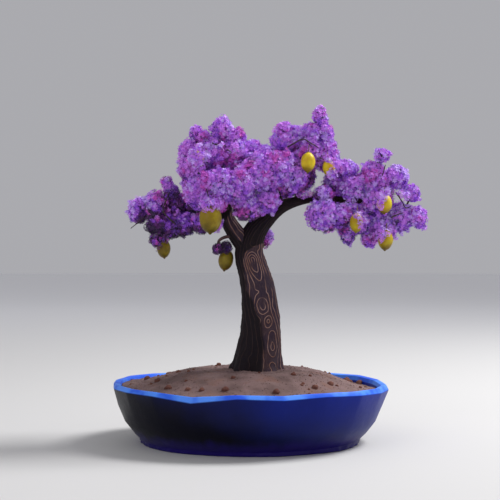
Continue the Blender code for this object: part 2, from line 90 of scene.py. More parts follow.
LIP_EDGE, INNER_LIP = 0.66, 0.3  # the mark of the wall's upper edge and of the inside, where the lip has 1
LIP_SHOWS = (0.64, 0.74)  # the marks from which the pale glaze, painted light on the rim, begins to show and shows fully
POT_BEVEL_ANGLE, POT_SHARP_ANGLE = math.radians(24), math.radians(40)  # for softened and for crisp edges
POT_BEVEL_STEPS = 3
POT_WAVE = 22 * MM  # size of the patches in which the wall wanders
POT_FLAT_Z = 0.4 * MM  # what lies no higher stays as flat as it is
FOOT_RIPPLE, FOOT_RIPPLE_PATCHES = 1.6 * MM, (9 * MM, 4.0)
FOOT_RIPPLE_FADES = (1 * MM, 9 * MM)  # the heights over which the foot's ripple dies away
FOOT_RIPPLE_FACING = 0.2  # how far a rippled place faces outwards: 1 is straight outwards
GLAZE_RIGHT, GLAZE_UP = 3.4, 9.0  # how fast the glaze turns from black, as painted shade, to blue, as painted light, for each metre
FOOT_GLAZE, FOOT_GLAZE_RUNS = (6 * MM, 22 * MM), 16 * MM  # where the violet ends, and how unevenly
DRAIN_RADIUS = 7 * MM
DRAIN_OFFSET = 62 * MM
DRAIN_DEPTH = 40 * MM
DRAIN_SIDES = 32

# Soil: a mound that fills the pot, higher on the left, and level where the trunk stands.
SOIL_EDGE_Z = 66.5 * MM
SOIL_TILT = 0.020  # fall from left to right, as a slope
SOIL_DEPTH_Z = 45 * MM  # underside of what shows of the soil
GROUND_Z = 88 * MM
SOIL_LEVEL = 0.42  # the share of the way to the wall where the mound starts to fall
SOIL_BUMP = 0.8 * MM
SOIL_WAVES = (90, 70)  # of the bumps, in radians for each metre, sideways and back
SOIL_UNDERSIDE = 0.9  # width of the mound's underside, as a share of its top
# A relief is rows of a height, the size of its patches and an offset that gives each row its own pattern.
SOIL_RELIEF = ((1.3 * MM, 15 * MM, 0.0), (0.5 * MM, 4.5 * MM, 0.0), (0.22 * MM, 2 * MM, 0.0))
# Grains that are strewn on the soil: how fine and how lumpy the ball is, and the least and greatest radius.
CRUMB_BALL, CRUMB_SIZES = (1, 0.32), (0.4 * MM, 1.1 * MM)
PEBBLE_BALL, PEBBLE_SIZES = (2, 0.2), (1.2 * MM, 2.4 * MM)
CRUMB_SEED, PEBBLE_SEED = 3, 8
# Pebbles that lie apart, as x, y and radius in mm.
NAMED_PEBBLES = (
    (99, 92, 4.6), (113, 96, 4.2), (128, 78, 4.6), (141, 66, 5.0), (122, 40, 5.2), (-128, 10, 4.6),
    (-104, 66, 4.8), (-66, 86, 5.0), (-96, -86, 4.4), (-56, -112, 3.8), (-72, -104, 3.4), (-28, -118, 4.4),
    (30, -122, 4.2), (76, -90, 4.4), (-112, -34, 4.0), (52, -60, 3.6), (-88, -10, 3.4), (96, -60, 3.8),
    (4, 108, 4.4), (60, 112, 3.8), (-40, 60, 3.6), (-20, -84, 3.0),
)

# The trunk, which carries on as the right limb to the heart of the last mass: x, y, z and radius in mm.
MAIN = (
    (8.7, 0, 88.3, 34.5), (9.3, 0, 96, 31.0), (10.8, 0, 110, 28.0), (12.6, 0, 130, 25.2),
    (13.2, 1, 150, 23.6), (11.8, 2, 172, 21.8), (8.6, 3, 194, 20.2), (3.4, 3, 212, 18.6),
    (-0.8, 3, 230, 17.4), (1.5, 2, 248, 15.6), (9.5, 2, 263, 13.2), (20, 3, 275, 11.0),
    (31, 4, 284.5, 9.2), (44, 5, 291.5, 7.4), (59, 5, 296, 5.8), (74, 4, 298.5, 4.6),
    (92, 3, 299.5, 4.2), (110, 2, 298, 3.8), (128, 1, 296, 3.3), (156, -2, 297, 2.2),
)
# The left limb, from inside the fork to the heart of the upper left mass.
LEFT = (
    (-4, 1, 238, 11.5), (-12, 0, 249, 11.2), (-20, -2, 260, 10.4), (-27, -3, 273, 8.6),
    (-29, -3, 287, 6.6), (-30, -3, 303, 5.2), (-36, -6, 322, 4.2), (-45, -16, 352, 2.4),
)
FOOT_ROW = (8.6, 0, 84, 35.6)  # the foot's end, below the soil's surface
ROOT_RIDGES, ROOT_RIDGE_DEPTH, FLARE_TOP = 5, 0.13, 120 * MM
ROOT_RIDGE_TURN, ROOT_RIDGE_SINK, FLARE_POWER = 0.6, 0.25, 1.5
# How finely limbs are carved: points round them, space between rows, and radians between growth lines.
TRUNK_GRAIN, LEFT_GRAIN, BOUGH_GRAIN = (168, 0.85 * MM, 0.23), (72, 0.85 * MM, 0.34), (24, 1.0 * MM, 0.8)

# Growth lines on the bark. The axis at the front is a height in mm and a turn in radians, to the right.
TRUNK_AXIS = ((84, 0.62), (117, 0.62), (150, 0.42), (167, 0.16), (225, 0.17), (300, 0.3))
LEFT_AXIS, BOUGH_AXIS = ((0, 0.0), (400, 0.4)), ((0, 0.0), (400, 0.5))
GRAIN_WANDER, GRAIN_JITTER = ((0.8, 34 * MM, 0.0),), ((0.28, 9 * MM, 3.0),)  # reliefs, in lines
GRAIN_BEND = 0.12  # how round a line turns where it crosses its axis
# A knot is its height and its turn, its half width in radians, its reach above and below in mm, and its depth
# in lines.
TRUNK_KNOTS = (
    (224, 0.17, 0.6, 14, 38, 4.0), (167, 0.14, 0.5, 16, 17, 3.0), (148, 0.42, 0.3, 9, 12, 1.8),
    (117, 0.63, 0.36, 28, 16, 2.2), (204, -2.97, 0.5, 14, 24, 3.4), (146, -2.71, 0.45, 14, 15, 2.6),
    (116, -2.52, 0.3, 10, 10, 1.6),
)
LEFT_KNOTS = ((284, -1.6, 0.7, 8, 10, 1.8),)
KNOT_FADES = (0.55, 1.45)  # how far out rings begin to turn into plain lines and have turned
KNOT_RIM = 0.9  # how far out the ring runs that carries on the plain lines
RIDGE_RISE = 0.5 * MM  # how far a carved line stands out
RIDGE_WIDTH = 0.8  # mm
WORN_PATCHES, WORN_FADES = (15 * MM, 7.0), (-0.6, -0.3)  # lines are gone and whole at these noises
LEAST_SLOPE = 0.02  # growth lines for each mm, where they hardly change
TINY = 1e-6  # metres, so that nothing is divided by zero
BARK_LUMPS = ((0.9 * MM, 16 * MM, 2.0), (0.35 * MM, 5 * MM, 5.0))
BARK_FIBRES, FIBRE_STRETCH = ((0.22 * MM, 1.9 * MM, 9.0),), Vector((1, 1, 0.25))
THICK_LIMB, LEAST_RELIEF = 12 * MM, 0.35  # radius from which a limb has its full relief, and the least share
# How far round to the right the trunk is painted in shadow, as a height in mm and the sine of the turn.
TRUNK_DUSK = (
    (88, 0.2), (120, 0.2), (143, 0.1), (165, -0.3), (186, -0.62), (222, -0.5), (232, -0.42), (239, 0.2),
    (246, 1.3),
)
LEFT_DUSK = ((238, 1.3), (248, -0.2), (272, -0.3), (290, 1.2))
DUSK_WANDER, DUSK_BLUR = ((0.12, 14 * MM, 1.5),), 0.10

# Twigs, as radii, and those that show by themselves, as a radius in mm and points in mm.
LOBE_TWIG_RADIUS = 1.5 * MM
LOBE_TWIG_LEAST, LOBE_TWIG_LOBE = 0.6, 40 * MM  # its least share, and the lobe that adds a whole one
STALK_RADIUS = 0.75 * MM
FINE_TWIG_RADIUS = 0.42 * MM
UMBEL_TWIG_SHARE = 0.5  # the share of umbels on a lobe that have their own twig, as all that stand apart do
UMBEL_TWIG_START = (0.05, 0.45)  # how far out from the lobe's centre it leaves
APART_TWIG = 1.5  # how much thicker it is where the umbel stands apart
TWIG_TAPER, SHOWING_TWIG_TAPER, SHOWING_TWIG_STEP = 0.45, 0.4, 2.5 * MM
SHOWING_TWIGS = (
    (1.25, ((-84, -18, 262), (-92, -29, 268), (-105, -31, 282), (-103, -30, 293), (-98, -25, 306))),
    (1.1, ((46, -26, 361), (52, -31, 364), (64, -32, 370), (74, -32, 365), (83, -30, 360))),
    (1.0, ((158, -12, 318), (162, -18, 327), (166, -14, 340))),
    (0.9, ((178, -24, 306), (185, -25, 295), (190, -22, 287), (197, -18, 289))),
    (0.9, ((172, -24, 275), (178, -24, 278), (187, -20, 281))),
    (0.8, ((-126, -18, 278), (-134, -22, 271), (-146, -16, 262))),
    (1.0, ((-46, -36, 365), (-40, -38, 363), (-29, -40, 361))),
    (0.9, ((-28, -42, 357), (-22, -43, 353))),
    (0.9, ((-72, -38, 352), (-66, -42, 348), (-59, -44, 345))),
    (0.9, ((-66, -36, 334), (-58, -52, 322), (-52, -64, 308), (-49, -71, 298), (-48, -68, 291))),
)

# Blossom: umbels on the lobes of each mass.
UMBEL_AREA = (8.6 * MM) ** 2  # of a lobe's surface, for each umbel
UMBEL_SWAY = 0.3  # radians from its place in the spiral round the lobe
UMBEL_DEPTHS, DEEPEST = (0.5, 1.35), 0.6  # in dome radii, and at most as a share of the way to the centre
DOME_RADIUS = 5.2 * MM
UNEVEN = 0.13  # how far the umbels stray from the round of a lobe, as a share of it
RAGGED = 5.4 * MM  # how far they stray besides, from one to the next
UNEVEN_PATCHES, RAGGED_PATCHES = (13 * MM, 8.0), (6 * MM, 3.0)  # the size and the noise's offset
DRAWN_IN = 4.8 * MM  # how far the domes sit inside their lobe, which sprigs then stand out of
WIDE_LOBE = 18 * MM  # narrower lobes have their domes drawn in less
VALLEY_SHARE, VALLEY_FILL = 1.6, 6.5 * MM  # how near another lobe is a valley, and how far it fills
SEAM = 0.1  # how far a mass may grow into its neighbour's space, as a share of a lobe
HIDDEN_SHARE = 0.9  # how far inside another lobe an umbel isn't grown
INSIDE_SHARE = 0.9  # how far inside its own mass a limb doesn't keep umbels away
LIMB_ROOM = DOME_RADIUS * 0.7  # how far from a limb an umbel sits
LIMB_STEP = 3 * MM  # from one sample of a limb to the next, where umbels keep clear of it
THOMSEN = 1.6  # the power in the formula for an ellipsoid's surface

# The florets of an umbel. A spread is the least and the greatest share of the usual size or number.
FLORETS, FLORETS_SPREAD = 17, (0.85, 1.15)
FLORET_RADIUS, FLORET_SPREAD = 2.3 * MM, (0.8, 1.2)
PETALS, PETAL_CORNERS = 5, ((-0.44, 0.62, 0.24), (-0.1, 1.0, 0.4), (0.34, 0.9, 0.3))  # a turn, reach and rise
DOME_SPREAD = (0.82, 1.12)
DOME_LEAST, DOME_LOBE = 0.55, 26 * MM  # the least share on a small lobe, and the lobe that adds a whole one
DOME_DEPTH = 1.12  # how far florets reach down from the dome's tip, as a share of its radius
DOME_REACH = (0.6, 1.1)  # how far out florets stand, in dome radii
STRAY, STRAY_REACH = 0.12, 0.35  # the share of florets that stand out of their dome, and how far
DOME_TILT, SPRIG_TILT, CREASE_TILT = 0.45, 0.4, 0.6  # how far a floret turns away from straight outwards
REACH, VEIL_REACH = 1.22, 0.3  # how far out of a lobe florets grow, and how much farther than a veil
REACH_VARIES = ((0.1, 5 * MM, 9.0),)
BURIED = 0.66  # how far inside a lobe a floret of an umbel isn't grown
MIXED = 0.3  # share of florets that take a tint next to their umbel's own
SPRIG_SHARE, SPRIG_FLORETS, SPRIG_LENGTH = 0.4, 8, 5.8 * MM  # the share of umbels with a spike of florets
SPRIG_LEAN, SPRIG_LIFT = 0.7, Vector((0, 0, 0.25))  # how far it leans at random, and always upwards
SPRIG_FOOT = 0.8  # where it starts, in dome radii
SPRIG_WIDTH, SPRIG_TAPER, SPRIG_RISE = 0.8, 0.6, 0.6  # in florets, how it narrows, how its florets look up
PALE_SPRIGS = 0.6  # share of sprigs that are paler than their umbel
CREASE_AREA = (3.3 * MM) ** 2  # of a lobe's surface, for each floret between the domes
CREASE_SHARE = (0.74, 0.97)  # how far out in the lobe those florets are
DEEP_AREA, DEEP_SHARE, DEEP_SPREAD = (8.0 * MM) ** 2, (0.35, 0.72), (1.1, 1.5)  # dark ones deep inside, as painted shade
DEEP_TINTS = ("plum", "deep")

# Tints. Each has tints next to it that its florets mix with, and most have a paler one for the sprigs.
TINTS = ("lavender", "mauve", "orchid", "pink", "violet", "dusk", "plum", "deep")
NEXT_TINTS = {
    "lavender": ("mauve", "orchid", "violet"), "mauve": ("lavender", "orchid", "violet"),
    "orchid": ("mauve", "pink", "lavender"), "pink": ("orchid", "orchid", "plum"),
    "violet": ("mauve", "mauve", "dusk"), "dusk": ("violet", "plum", "deep"),
    "plum": ("dusk", "pink", "deep"), "deep": ("plum",),
}
PALER = {
    "mauve": "lavender", "orchid": "lavender", "pink": "orchid", "violet": "mauve", "dusk": "violet",
    "plum": "violet",
}
# An umbel's tint by its painted shade and then by its warmth. A row holds when the value is above its first
# number.
ANY = -math.inf
TINT_STEPS = (
    (1.5, ((ANY, "deep"),)),
    (1.12, ((-0.2, "plum"), (ANY, "dusk"))),
    (0.8, ((0.3, "pink"), (ANY, "violet"))),
    (ANY, ((0.55, "pink"), (0.14, "orchid"), (-0.2, "mauve"), (ANY, "lavender"))),
)
WARM_PATCHES, WARM_CHANCE = ((1.0, 20 * MM, 11.0), (0.5, 8 * MM, 4.0)), 0.3
WARM_MEAN, WARM_FALL = 0.06, 0.7  # the mean in the middle, and how much it falls for each metre to the right
SHADE_MEAN, SHADE_BELOW, SHADE_CHANCE = 0.36, 0.5, 0.35  # the second is painted shade: more where an umbel faces down, less where it faces up
SHADE_SUNK, SHADE_OUT = 0.15, -0.05  # painted shade added where it sits deeper than its dome's radius, and what is added elsewhere
# Spots of painted shade in the crown, as x, y, z and reach in mm, and how much deeper the tints are there.
SHADY = (
    (-92, -10, 262, 60, 0.85), (-112, -20, 243, 24, 0.45), (-124, -8, 270, 34, 0.3), (-62, -6, 300, 40, 0.6),
    (-30, -8, 246, 34, 1.3), (52, -8, 330, 36, 0.6), (40, -4, 262, 40, 0.8), (-8, -20, 282, 42, 0.45),
    (92, -10, 322, 30, 0.5), (118, -10, 262, 44, 0.5), (84, -10, 288, 30, 0.45), (18, -10, 290, 34, 0.4),
    (-44, -20, 320, 22, 0.4), (40, 60, 280, 60, 0.6), (-50, 70, 270, 50, 0.6), (130, 40, 270, 50, 0.5),
)
SHADY_CORE = 0.4  # the share of the reach within which the gloom is full
# Umbels that hang in front of the lemons and of the right limb, as x, y and z in mm, and the ranges in which
# they turn from straight ahead.
VEIL_SIDEWAYS, VEIL_UPWARD = (-0.3, 0.3), (-0.2, 0.4)
VEILS = {
    "lower_left": ((-56, -75, 290), (-48, -77, 292), (-39, -76, 290), (-45, -80, 287), (-53, -79, 286)),
    "top_right": ((101, -36, 331), (99, -36, 326), (100, -38, 343), (106, -36, 339), (94, -38, 346)),
    "centre": ((-21, 8, 292), (-20, 10, 297), (68, -13, 307), (61, -13, 306), (74, -13, 305), (65, -15, 303)),
    "upper_left": (
        (-68, -54, 352), (-60, -54, 353), (-70, -52, 344), (-66, -53, 336), (-58, -53, 335), (-56, -52, 346),
        (-63, -54, 330), (-63, -58, 343), (-66, -58, 339), (-59, -57, 347), (-69, -57, 350), (-62, -57, 359),
    ),
    "right_end": (
        (156, -44, 294), (157, -45, 301), (160, -45, 298), (157, -44, 288), (165, -45, 304), (159, -38, 255),
        (157, -37, 248), (166, -38, 256), (184, -22, 304), (189, -22, 300),
    ),
    "right_low": (
        (134, -45, 271), (130, -46, 277), (136, -44, 264), (92, -16, 306), (85, -17, 300), (95, -17, 297),
        (88, -20, 291), (98, -18, 289), (82, -14, 307), (119, -17, 291), (128, -18, 288),
    ),
    "right_top": ((119, -15, 301), (126, -16, 296), (123, -16, 307), (133, -16, 304), (114, -15, 309)),
    "far_left": ((-113, -21, 241), (-112, -20, 248), (-104, -22, 249), (-115, -18, 243)),
}

# Lemons. A profile is shares of the radius and of the length, from the middle upwards.
LEMON_SIDES, LEMON_STEP = 28, 0.55 * MM
PROFILE_SCALE = 10  # mm for a share of 1, while the profile is smoothed
LEMON_PROFILE = (
    (0.0, -0.5), (0.09, -0.49), (0.15, -0.465), (0.22, -0.44), (0.47, -0.39), (0.75, -0.28), (0.94, -0.13),
    (1.0, 0.02), (0.95, 0.17), (0.78, 0.31), (0.48, 0.42), (0.22, 0.47), (0.10, 0.475),
)
LEMON_POLE = 0.012  # the least share of the radius, so that the ends stay small rings
LEMON_TILT, LEMON_SWINGS = 0.3, ((9 * MM, 0.0), (7 * MM, 5.0))  # radians at most, and the two noises
LEMON_LUMPS = ((0.03, 7 * MM, 0.0),)
LEMON_ROOM = 1.06  # how far out from a lemon's centre florets begin, as a share of its size
LEMON_TOP = 0.49  # where its twig ends, as a share of the length
CALYX_PROFILE = ((0.6, 0.455), (1.0, 0.475), (0.75, 0.50), (0.3, 0.515))
CALYX_SIDES, CALYX_TIP, CALYX_NOTCH = 10, 2.6 * MM, 1.5 * MM
LEMON_STALK_RADIUS, LEMON_STALK_FOOT = 0.55 * MM, 0.52
LEMON_STALK_RISES = (1.0 * MM, 4.0 * MM, 7.5 * MM)
LEMON_SHADE_FADES = (0.215, 0.36)  # height in metres, plus a share of x, at which lemons are fully in painted shade, dark green, and fully out of it
LEMON_LIT_RIGHT = 0.25  # that share
SHADED_TIP = (-0.44, -0.12)  # the levels between which the painted shade, dark green, on a lemon's lower tip fades

# Stage.
FLOOR_Z = -0.3 * MM
FLOOR_SIDES = 64
CAMERA_PLACE = (0, -1.67, 0.2355)
CAMERA_LENS = 97.2  # mm on a 36 mm sensor
LIGHT_AIM = Vector((0.02, 0, 0.24))
FLOOR_CLOUDS = (0.62, 0.62, 0.64)  # linear
FLOOR_FADES = (0.8, 4.0)  # metres out, between which the floor turns to its far colour

# Blossom. Lobes are x, y, z and their three radii in mm; the first holds the mass's heart. Fruit is x, y, z,
# length and radius. A bough is x, y, z of the points that it passes on its way to the heart, and two radii.
CROWN = {
    "upper_left": {
        "lobes": (
            (-45, -16, 352, 24, 28, 20), (-18, -16, 353, 21, 26, 18), (-34, -18, 382, 14, 17, 17),
            (-17, -16, 373, 10, 11, 11), (-74, -20, 358, 12, 14, 12), (-66, -18, 379, 8.5, 8.5, 8),
            (-68, -16, 335, 21, 24, 20), (2, -12, 357, 12, 14, 12), (-56, -18, 371, 10, 12, 9),
        ),
        "fruit": ((-63, -44, 344, 24, 8.2),),
    },
    "lower_left": {
        "bough": (((-29, -4, 284), (-31, -20, 292), (-34, -36, 302), (-34, -52, 312)), (3.6, 2.2)),
        "lobes": (
            (-34, -52, 312, 26, 20, 22), (-61, -42, 305, 22, 20, 19), (-45, -56, 292, 17, 15, 12),
            (-10, -56, 315, 15, 14, 18), (-41, -52, 266, 8, 8, 10),
        ),
        "fruit": ((-47, -66, 272, 37, 13.3),),
    },
    "far_left": {
        "bough": (((-28, -3, 283), (-44, 2, 284), (-62, 2, 278), (-84, -6, 267)), (4.0, 2.2)),
        "lobes": (
            (-84, -6, 267, 19, 22, 15), (-109, -6, 267, 19, 20, 15), (-115, -12, 291, 16, 18, 19),
            (-137, -10, 283, 13.5, 14, 16), (-90, 4, 292, 15, 20, 16), (-70, 0, 292, 12, 16, 15),
            (-59, -22, 268, 14, 14, 12), (-112, -10, 250, 10, 10, 13), (-97, -12, 306, 9, 11, 9),
            (-101, -24, 317, 7.5, 7.5, 8),
        ),
        "fruit": ((-106, -12, 237, 25, 8.4),),
    },
    "back_left": {
        "bough": (((-30, -2, 296), (-33, 13, 305), (-36, 28, 316), (-42, 48, 332)), (3.8, 2.2)),
        "lobes": (
            (-42, 48, 332, 27, 27, 24), (-14, 52, 350, 24, 26, 22), (-68, 40, 318, 20, 22, 18),
            (-40, 70, 308, 21, 19, 17), (-50, 40, 364, 15, 17, 14),
        ),
        "fruit": ((-60, 60, 289, 26, 9.0),),
    },
    "centre": {
        "bough": (((26, 4, 280), (22, -10, 294), (16, -22, 310), (8, -36, 328)), (4.0, 2.2)),
        "lobes": (
            (8, -36, 328, 27, 24, 24), (36, -30, 335, 22, 22, 22), (-3, -36, 289, 20, 17, 20),
            (22, -36, 294, 15, 15, 15), (53, -26, 321, 17, 18, 17), (20, -24, 346, 14, 16, 14),
        ),
        "fruit": (),
    },
    "back_centre": {
        "bough": (((38, 5, 288), (37, 16, 299), (34, 28, 313), (30, 42, 330)), (3.8, 2.2)),
        "lobes": (
            (30, 42, 330, 24, 25, 22), (58, 38, 324, 19, 22, 19), (34, 62, 308, 22, 18, 18),
            (62, 42, 352, 19, 20, 17), (8, 16, 352, 15, 15, 15),
        ),
        "fruit": ((36, 80, 300, 26, 9.0),),
    },
    "top_right": {
        "bough": (((57, 5, 295.5), (60, 4, 307), (64, 1, 316), (68, -8, 323)), (3.8, 2.2)),
        "lobes": (
            (66, -8, 328, 13, 17, 18), (73, -6, 356, 22, 24, 20), (94, -8, 350, 13, 16, 18),
            (42, -8, 367, 18, 18, 14), (42, -10, 382, 9.5, 10, 10), (76, -8, 380, 14, 14, 12),
            (86, -10, 399, 9.5, 10, 15), (58, -8, 377, 11, 12, 10), (93, -8, 374, 9, 12, 14),
        ),
        "fruit": ((70, -41, 341, 26, 8.7), (96, -27, 335, 22, 7.6)),
    },
    "right_top": {
        "bough": (((97, 3, 299.5), (101, 5, 308), (105, 3, 320)), (2.8, 1.9)),
        "lobes": (
            (105, 3, 320, 13, 18, 13), (117, -2, 334, 15, 18, 14), (129, 0, 317, 17, 22, 14),
            (150, -6, 332, 14, 17, 14), (162, -10, 352, 10.5, 11, 8.5),
        ),
        "fruit": (),
    },
    "right_low": {
        "bough": (((101, 2, 299), (105, -8, 291), (110, -18, 277)), (2.8, 1.9)),
        "lobes": (
            (110, -18, 277, 18, 18, 14), (87, -24, 278, 21, 19, 20), (120, -8, 256, 10, 11, 15),
            (133, -22, 268, 14, 16, 14), (90, -18, 304, 11, 11, 11),
        ),
        "fruit": ((129, -35, 268, 26, 8.2),),
    },
    "right_end": {
        "lobes": (
            (156, -2, 297, 22, 25, 21), (181, -4, 325, 15, 18, 17), (199, -6, 305, 10.5, 12, 11),
            (186, 0, 276, 17, 19, 19), (207, -6, 275, 11.5, 13, 14), (163, -8, 261, 18, 20, 16),
            (148, -6, 249, 9, 10, 9), (159, -4, 321, 11, 14, 11),
        ),
        "fruit": ((163, -32, 291, 26, 9.4), (165, -26, 247, 26, 9.2)),
    },
    "back_right": {
        "bough": (((116, 2, 297.5), (119, 18, 297), (124, 34, 296), (132, 50, 294)), (2.8, 1.9)),
        "lobes": (
            (132, 50, 294, 23, 22, 20), (106, 52, 300, 17, 18, 16), (158, 46, 282, 17, 18, 16),
            (128, 44, 320, 15, 16, 12),
        ),
        "fruit": ((120, 56, 268, 26, 9.0),),
    },
    "twig_left": {
        "bough": (((-12, 0, 249), (-27, -6, 252), (-38, -7, 247), (-39, -4, 237)), (2.3, 1.4)),
        "lobes": ((-39, -4, 237, 6.5, 7, 6.5), (-30, 2, 238, 8, 8.5, 8)),
        "fruit": ((-30, 6, 223, 29, 9.2),),
    },
    "twig_right": {
        "bough": (((2, 3, 236), (9, 18, 236), (16, 25, 240), (22, 27, 251)), (2.3, 1.4)),
        "lobes": ((22, 27, 251, 7.5, 8, 11),),
        "fruit": (),
    },
}

# ---------------------------------------------------------------- writing node trees


class Value:
    """A socket of a node tree. Arithmetic on it adds Math nodes."""

    def __init__(self, nodes, socket):
        self.nodes, self.socket = nodes, socket

    def maths(self, operation, *terms):
        return self.nodes.node("ShaderNodeMath", {"operation": operation}, dict(enumerate(terms)))

    def __add__(self, other):
        return self.maths("ADD", self, other)

    def __sub__(self, other):
        return self.maths("SUBTRACT", self, other)

    def __rsub__(self, other):
        return self.maths("SUBTRACT", other, self)

    def __mul__(self, other):
        return self.maths("MULTIPLY", self, other)

    def __truediv__(self, other):
        return self.maths("DIVIDE", self, other)

    __radd__ = __add__

    def absolute(self):
        return self.maths("ABSOLUTE", self)

    def fraction(self):
        return self.maths("FRACT", self)

    def between(self, low, high):
        """A smooth step from 0 at low to 1 at high."""
        settings = {"interpolation_type": "SMOOTHSTEP"}
        return self.nodes.node("ShaderNodeMapRange", settings, {0: self, 1: low, 2: high})


class Nodes:
    """A node tree that is written as calls and expressions."""

    def __init__(self, tree):
        self.tree = tree

    def node(self, kind, settings=None, values=None, output=0):
        """Adds a node with these settings, then these socket values or links. Returns one output."""
        made = self.tree.nodes.new(kind)
        for name, setting in (settings or {}).items():
            setattr(made, name, setting)
        for key, value in (values or {}).items():
            self.feed(made.inputs[key], value)
        return Value(self, made.outputs[output])

    def feed(self, socket, value):
        if isinstance(value, Value):
            self.tree.links.new(value.socket, socket)
        elif socket.type == "RGBA":
            socket.default_value = (*value, 1.0)
        else:
            socket.default_value = value


class Finish(Nodes):
    """A material on one Principled shader, whose constants are set on the shader's own sockets."""

    def __init__(self, name, constants):
        self.material = bpy.data.materials.new(name)
        self.material.use_nodes = True
        super().__init__(self.material.node_tree)
        self.shader = self.tree.nodes["Principled BSDF"]
        self.drive(constants)

    def drive(self, values):
        for key, value in values.items():
            self.feed(self.shader.inputs[key], value)

    def place(self, stretch=(1, 1, 1)):
        """Object coordinates in metres, squeezed or stretched."""
        here = self.node("ShaderNodeTexCoord", output=3)
        if stretch == (1, 1, 1):
            return here
        return self.node("ShaderNodeMapping", values={"Vector": here, "Scale": stretch})

    def axis(self, number):
        """One object coordinate: 0 runs to the right, 1 to the back and 2 upwards."""
        return self.node("ShaderNodeSeparateXYZ", values={0: self.place()}, output=number)

    def noise(self, size, detail=3.0, stretch=(1, 1, 1), roughness=0.5):
        """Noise from 0 to 1 whose patches have this size in metres."""
        values = {"Vector": self.place(stretch), "Scale": 1 / size, "Detail": detail, "Roughness": roughness}
        return self.node("ShaderNodeTexNoise", values=values)

    def cells(self, size):
        """Distance to the nearest of points that stand this far apart, in shares of that."""
        return self.node("ShaderNodeTexVoronoi", values={"Vector": self.place(), "Scale": 1 / size})

    def attribute(self, name):
        return self.node("ShaderNodeAttribute", {"attribute_name": name}, output=2)

    def mix(self, share, low, high):
        return self.node("ShaderNodeMix", {"data_type": "RGBA"}, {0: share, 6: low, 7: high}, output=2)

    def bump(self, height, distance, strength):
        values = {"Height": height, "Distance": distance, "Strength": strength}
        return self.node("ShaderNodeBump", values=values)


class Repeat(Nodes):
    """A Geometry Nodes tree with named inputs. It ends in Realize Instances and Set Material."""

    def __init__(self, name):
        super().__init__(bpy.data.node_groups.new(name, "GeometryNodeTree"))
        self.inputs = {}
        self.base = self.wish("Geometry", "NodeSocketGeometry")
        self.tree.interface.new_socket("Geometry", in_out="OUTPUT", socket_type="NodeSocketGeometry")

    def wish(self, name, kind, value=None):
        """Adds an input to the tree and gives its socket."""
        socket = self.tree.interface.new_socket(name, in_out="INPUT", socket_type=kind)
        if value is not None:
            self.inputs[socket.identifier] = value
        entry = self.tree.nodes.new("NodeGroupInput")
        return Value(self, entry.outputs[name])

    def attribute(self, name, kind):
        return self.node("GeometryNodeInputNamedAttribute", {"data_type": kind}, {"Name": name})

    def instances(self, points, thing, rotation, size):
        """A copy of another object on each point."""
        shape = self.node("GeometryNodeObjectInfo", values={"Object": thing}, output=4)
        values = {"Points": points, "Instance": shape, "Rotation": rotation, "Scale": size}
        return self.node("GeometryNodeInstanceOnPoints", values=values)

    def grow(self, geometry, material, base, name):
        """Finishes the tree, runs it on the base object and gives the piece that comes out."""
        realized = self.node("GeometryNodeRealizeInstances", values={"Geometry": geometry})
        slot = self.wish("Material", "NodeSocketMaterial", material)
        painted = self.node("GeometryNodeSetMaterial", values={"Geometry": realized, "Material": slot})
        exit_node = self.tree.nodes.new("NodeGroupOutput")
        self.tree.links.new(painted.socket, exit_node.inputs[0])
        modifier = base.modifiers.new(name, "NODES")
        modifier.node_group = self.tree
        for identifier, value in self.inputs.items():
            modifier[identifier] = value
        mesh = evaluated_mesh(base)
        base.modifiers.remove(modifier)
        mesh.name = name
        return link(bpy.data.objects.new(name, mesh))


# ---------------------------------------------------------------- meshes


def link(thing):
    bpy.context.scene.collection.objects.link(thing)
    return thing


def evaluated_mesh(thing):
    """What an object's modifiers make of it, as a plain mesh."""
    graph = bpy.context.evaluated_depsgraph_get()
    return bpy.data.meshes.new_from_object(thing.evaluated_get(graph), depsgraph=graph)


def discard(thing):
    bpy.data.objects.remove(thing)


def new_piece(name, points, faces, material=None, attributes=None, edges=()):
    """An object at the origin with this mesh, its material and its float attributes."""
    mesh = bpy.data.meshes.new(name)
    mesh.from_pydata([tuple(point) for point in points], edges, faces)
    for key, values in (attributes or {}).items():
        mesh.attributes.new(key, "FLOAT", "POINT").data.foreach_set("value", values)
    if material:
        mesh.materials.append(material)
    return link(bpy.data.objects.new(name, mesh))


def from_bmesh(name, shape):
    """An object at the origin with the mesh that was built."""
    mesh = bpy.data.meshes.new(name)
    shape.to_mesh(mesh)
    shape.free()
    return link(bpy.data.objects.new(name, mesh))


def turn_outwards(piece):
    shape = bmesh.new()
    shape.from_mesh(piece.data)
    bmesh.ops.recalc_face_normals(shape, faces=shape.faces)
    shape.to_mesh(piece.data)
    shape.free()


def rings_to_faces(count, sides, first=0):
    """Quads between rings of this many points each, and a cap at each end."""
    faces = []
    for ring in range(count - 1):
        low = first + ring * sides
        for side in range(sides):
            after = (side + 1) % sides
            faces.append((low + side, low + after, low + sides + after, low + sides + side))
    last = first + (count - 1) * sides
    faces.append(tuple(range(first + sides - 1, first - 1, -1)))
    faces.append(tuple(range(last, last + sides)))
    return faces


def keep(piece, nodes=()):
    """Hands a finished piece to the frame: attaches it to its body and hides the nodes that it stands for."""
    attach(piece, BODY)
    if nodes:
        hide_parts(*nodes)


def noise_at(place, size, offset=0.0):
    """Noise from -1 to 1 at a place, whose patches have this size in metres."""
    return noise.noise(place / size + Vector((offset, offset, offset)))


def relief(place, rows):
    """The sum of several noises at a place. A row is a height, a size and the noise's offset."""
    return sum(height * noise_at(place, size, offset) for height, size, offset in rows)


def step_between(value, low, high):
    share = max(0.0, min(1.0, (value - low) / (high - low)))
    return share * share * (3 - 2 * share)


def read_along(table, value):
    """Reads a table of (position, result) rows at a value, in a straight line between rows."""
    for (low, first), (high, last) in zip(table, table[1:]):
        if value <= high:
            return first + (last - first) * max(0.0, (value - low) / (high - low))
    return table[-1][1]


# ---------------------------------------------------------------- pot


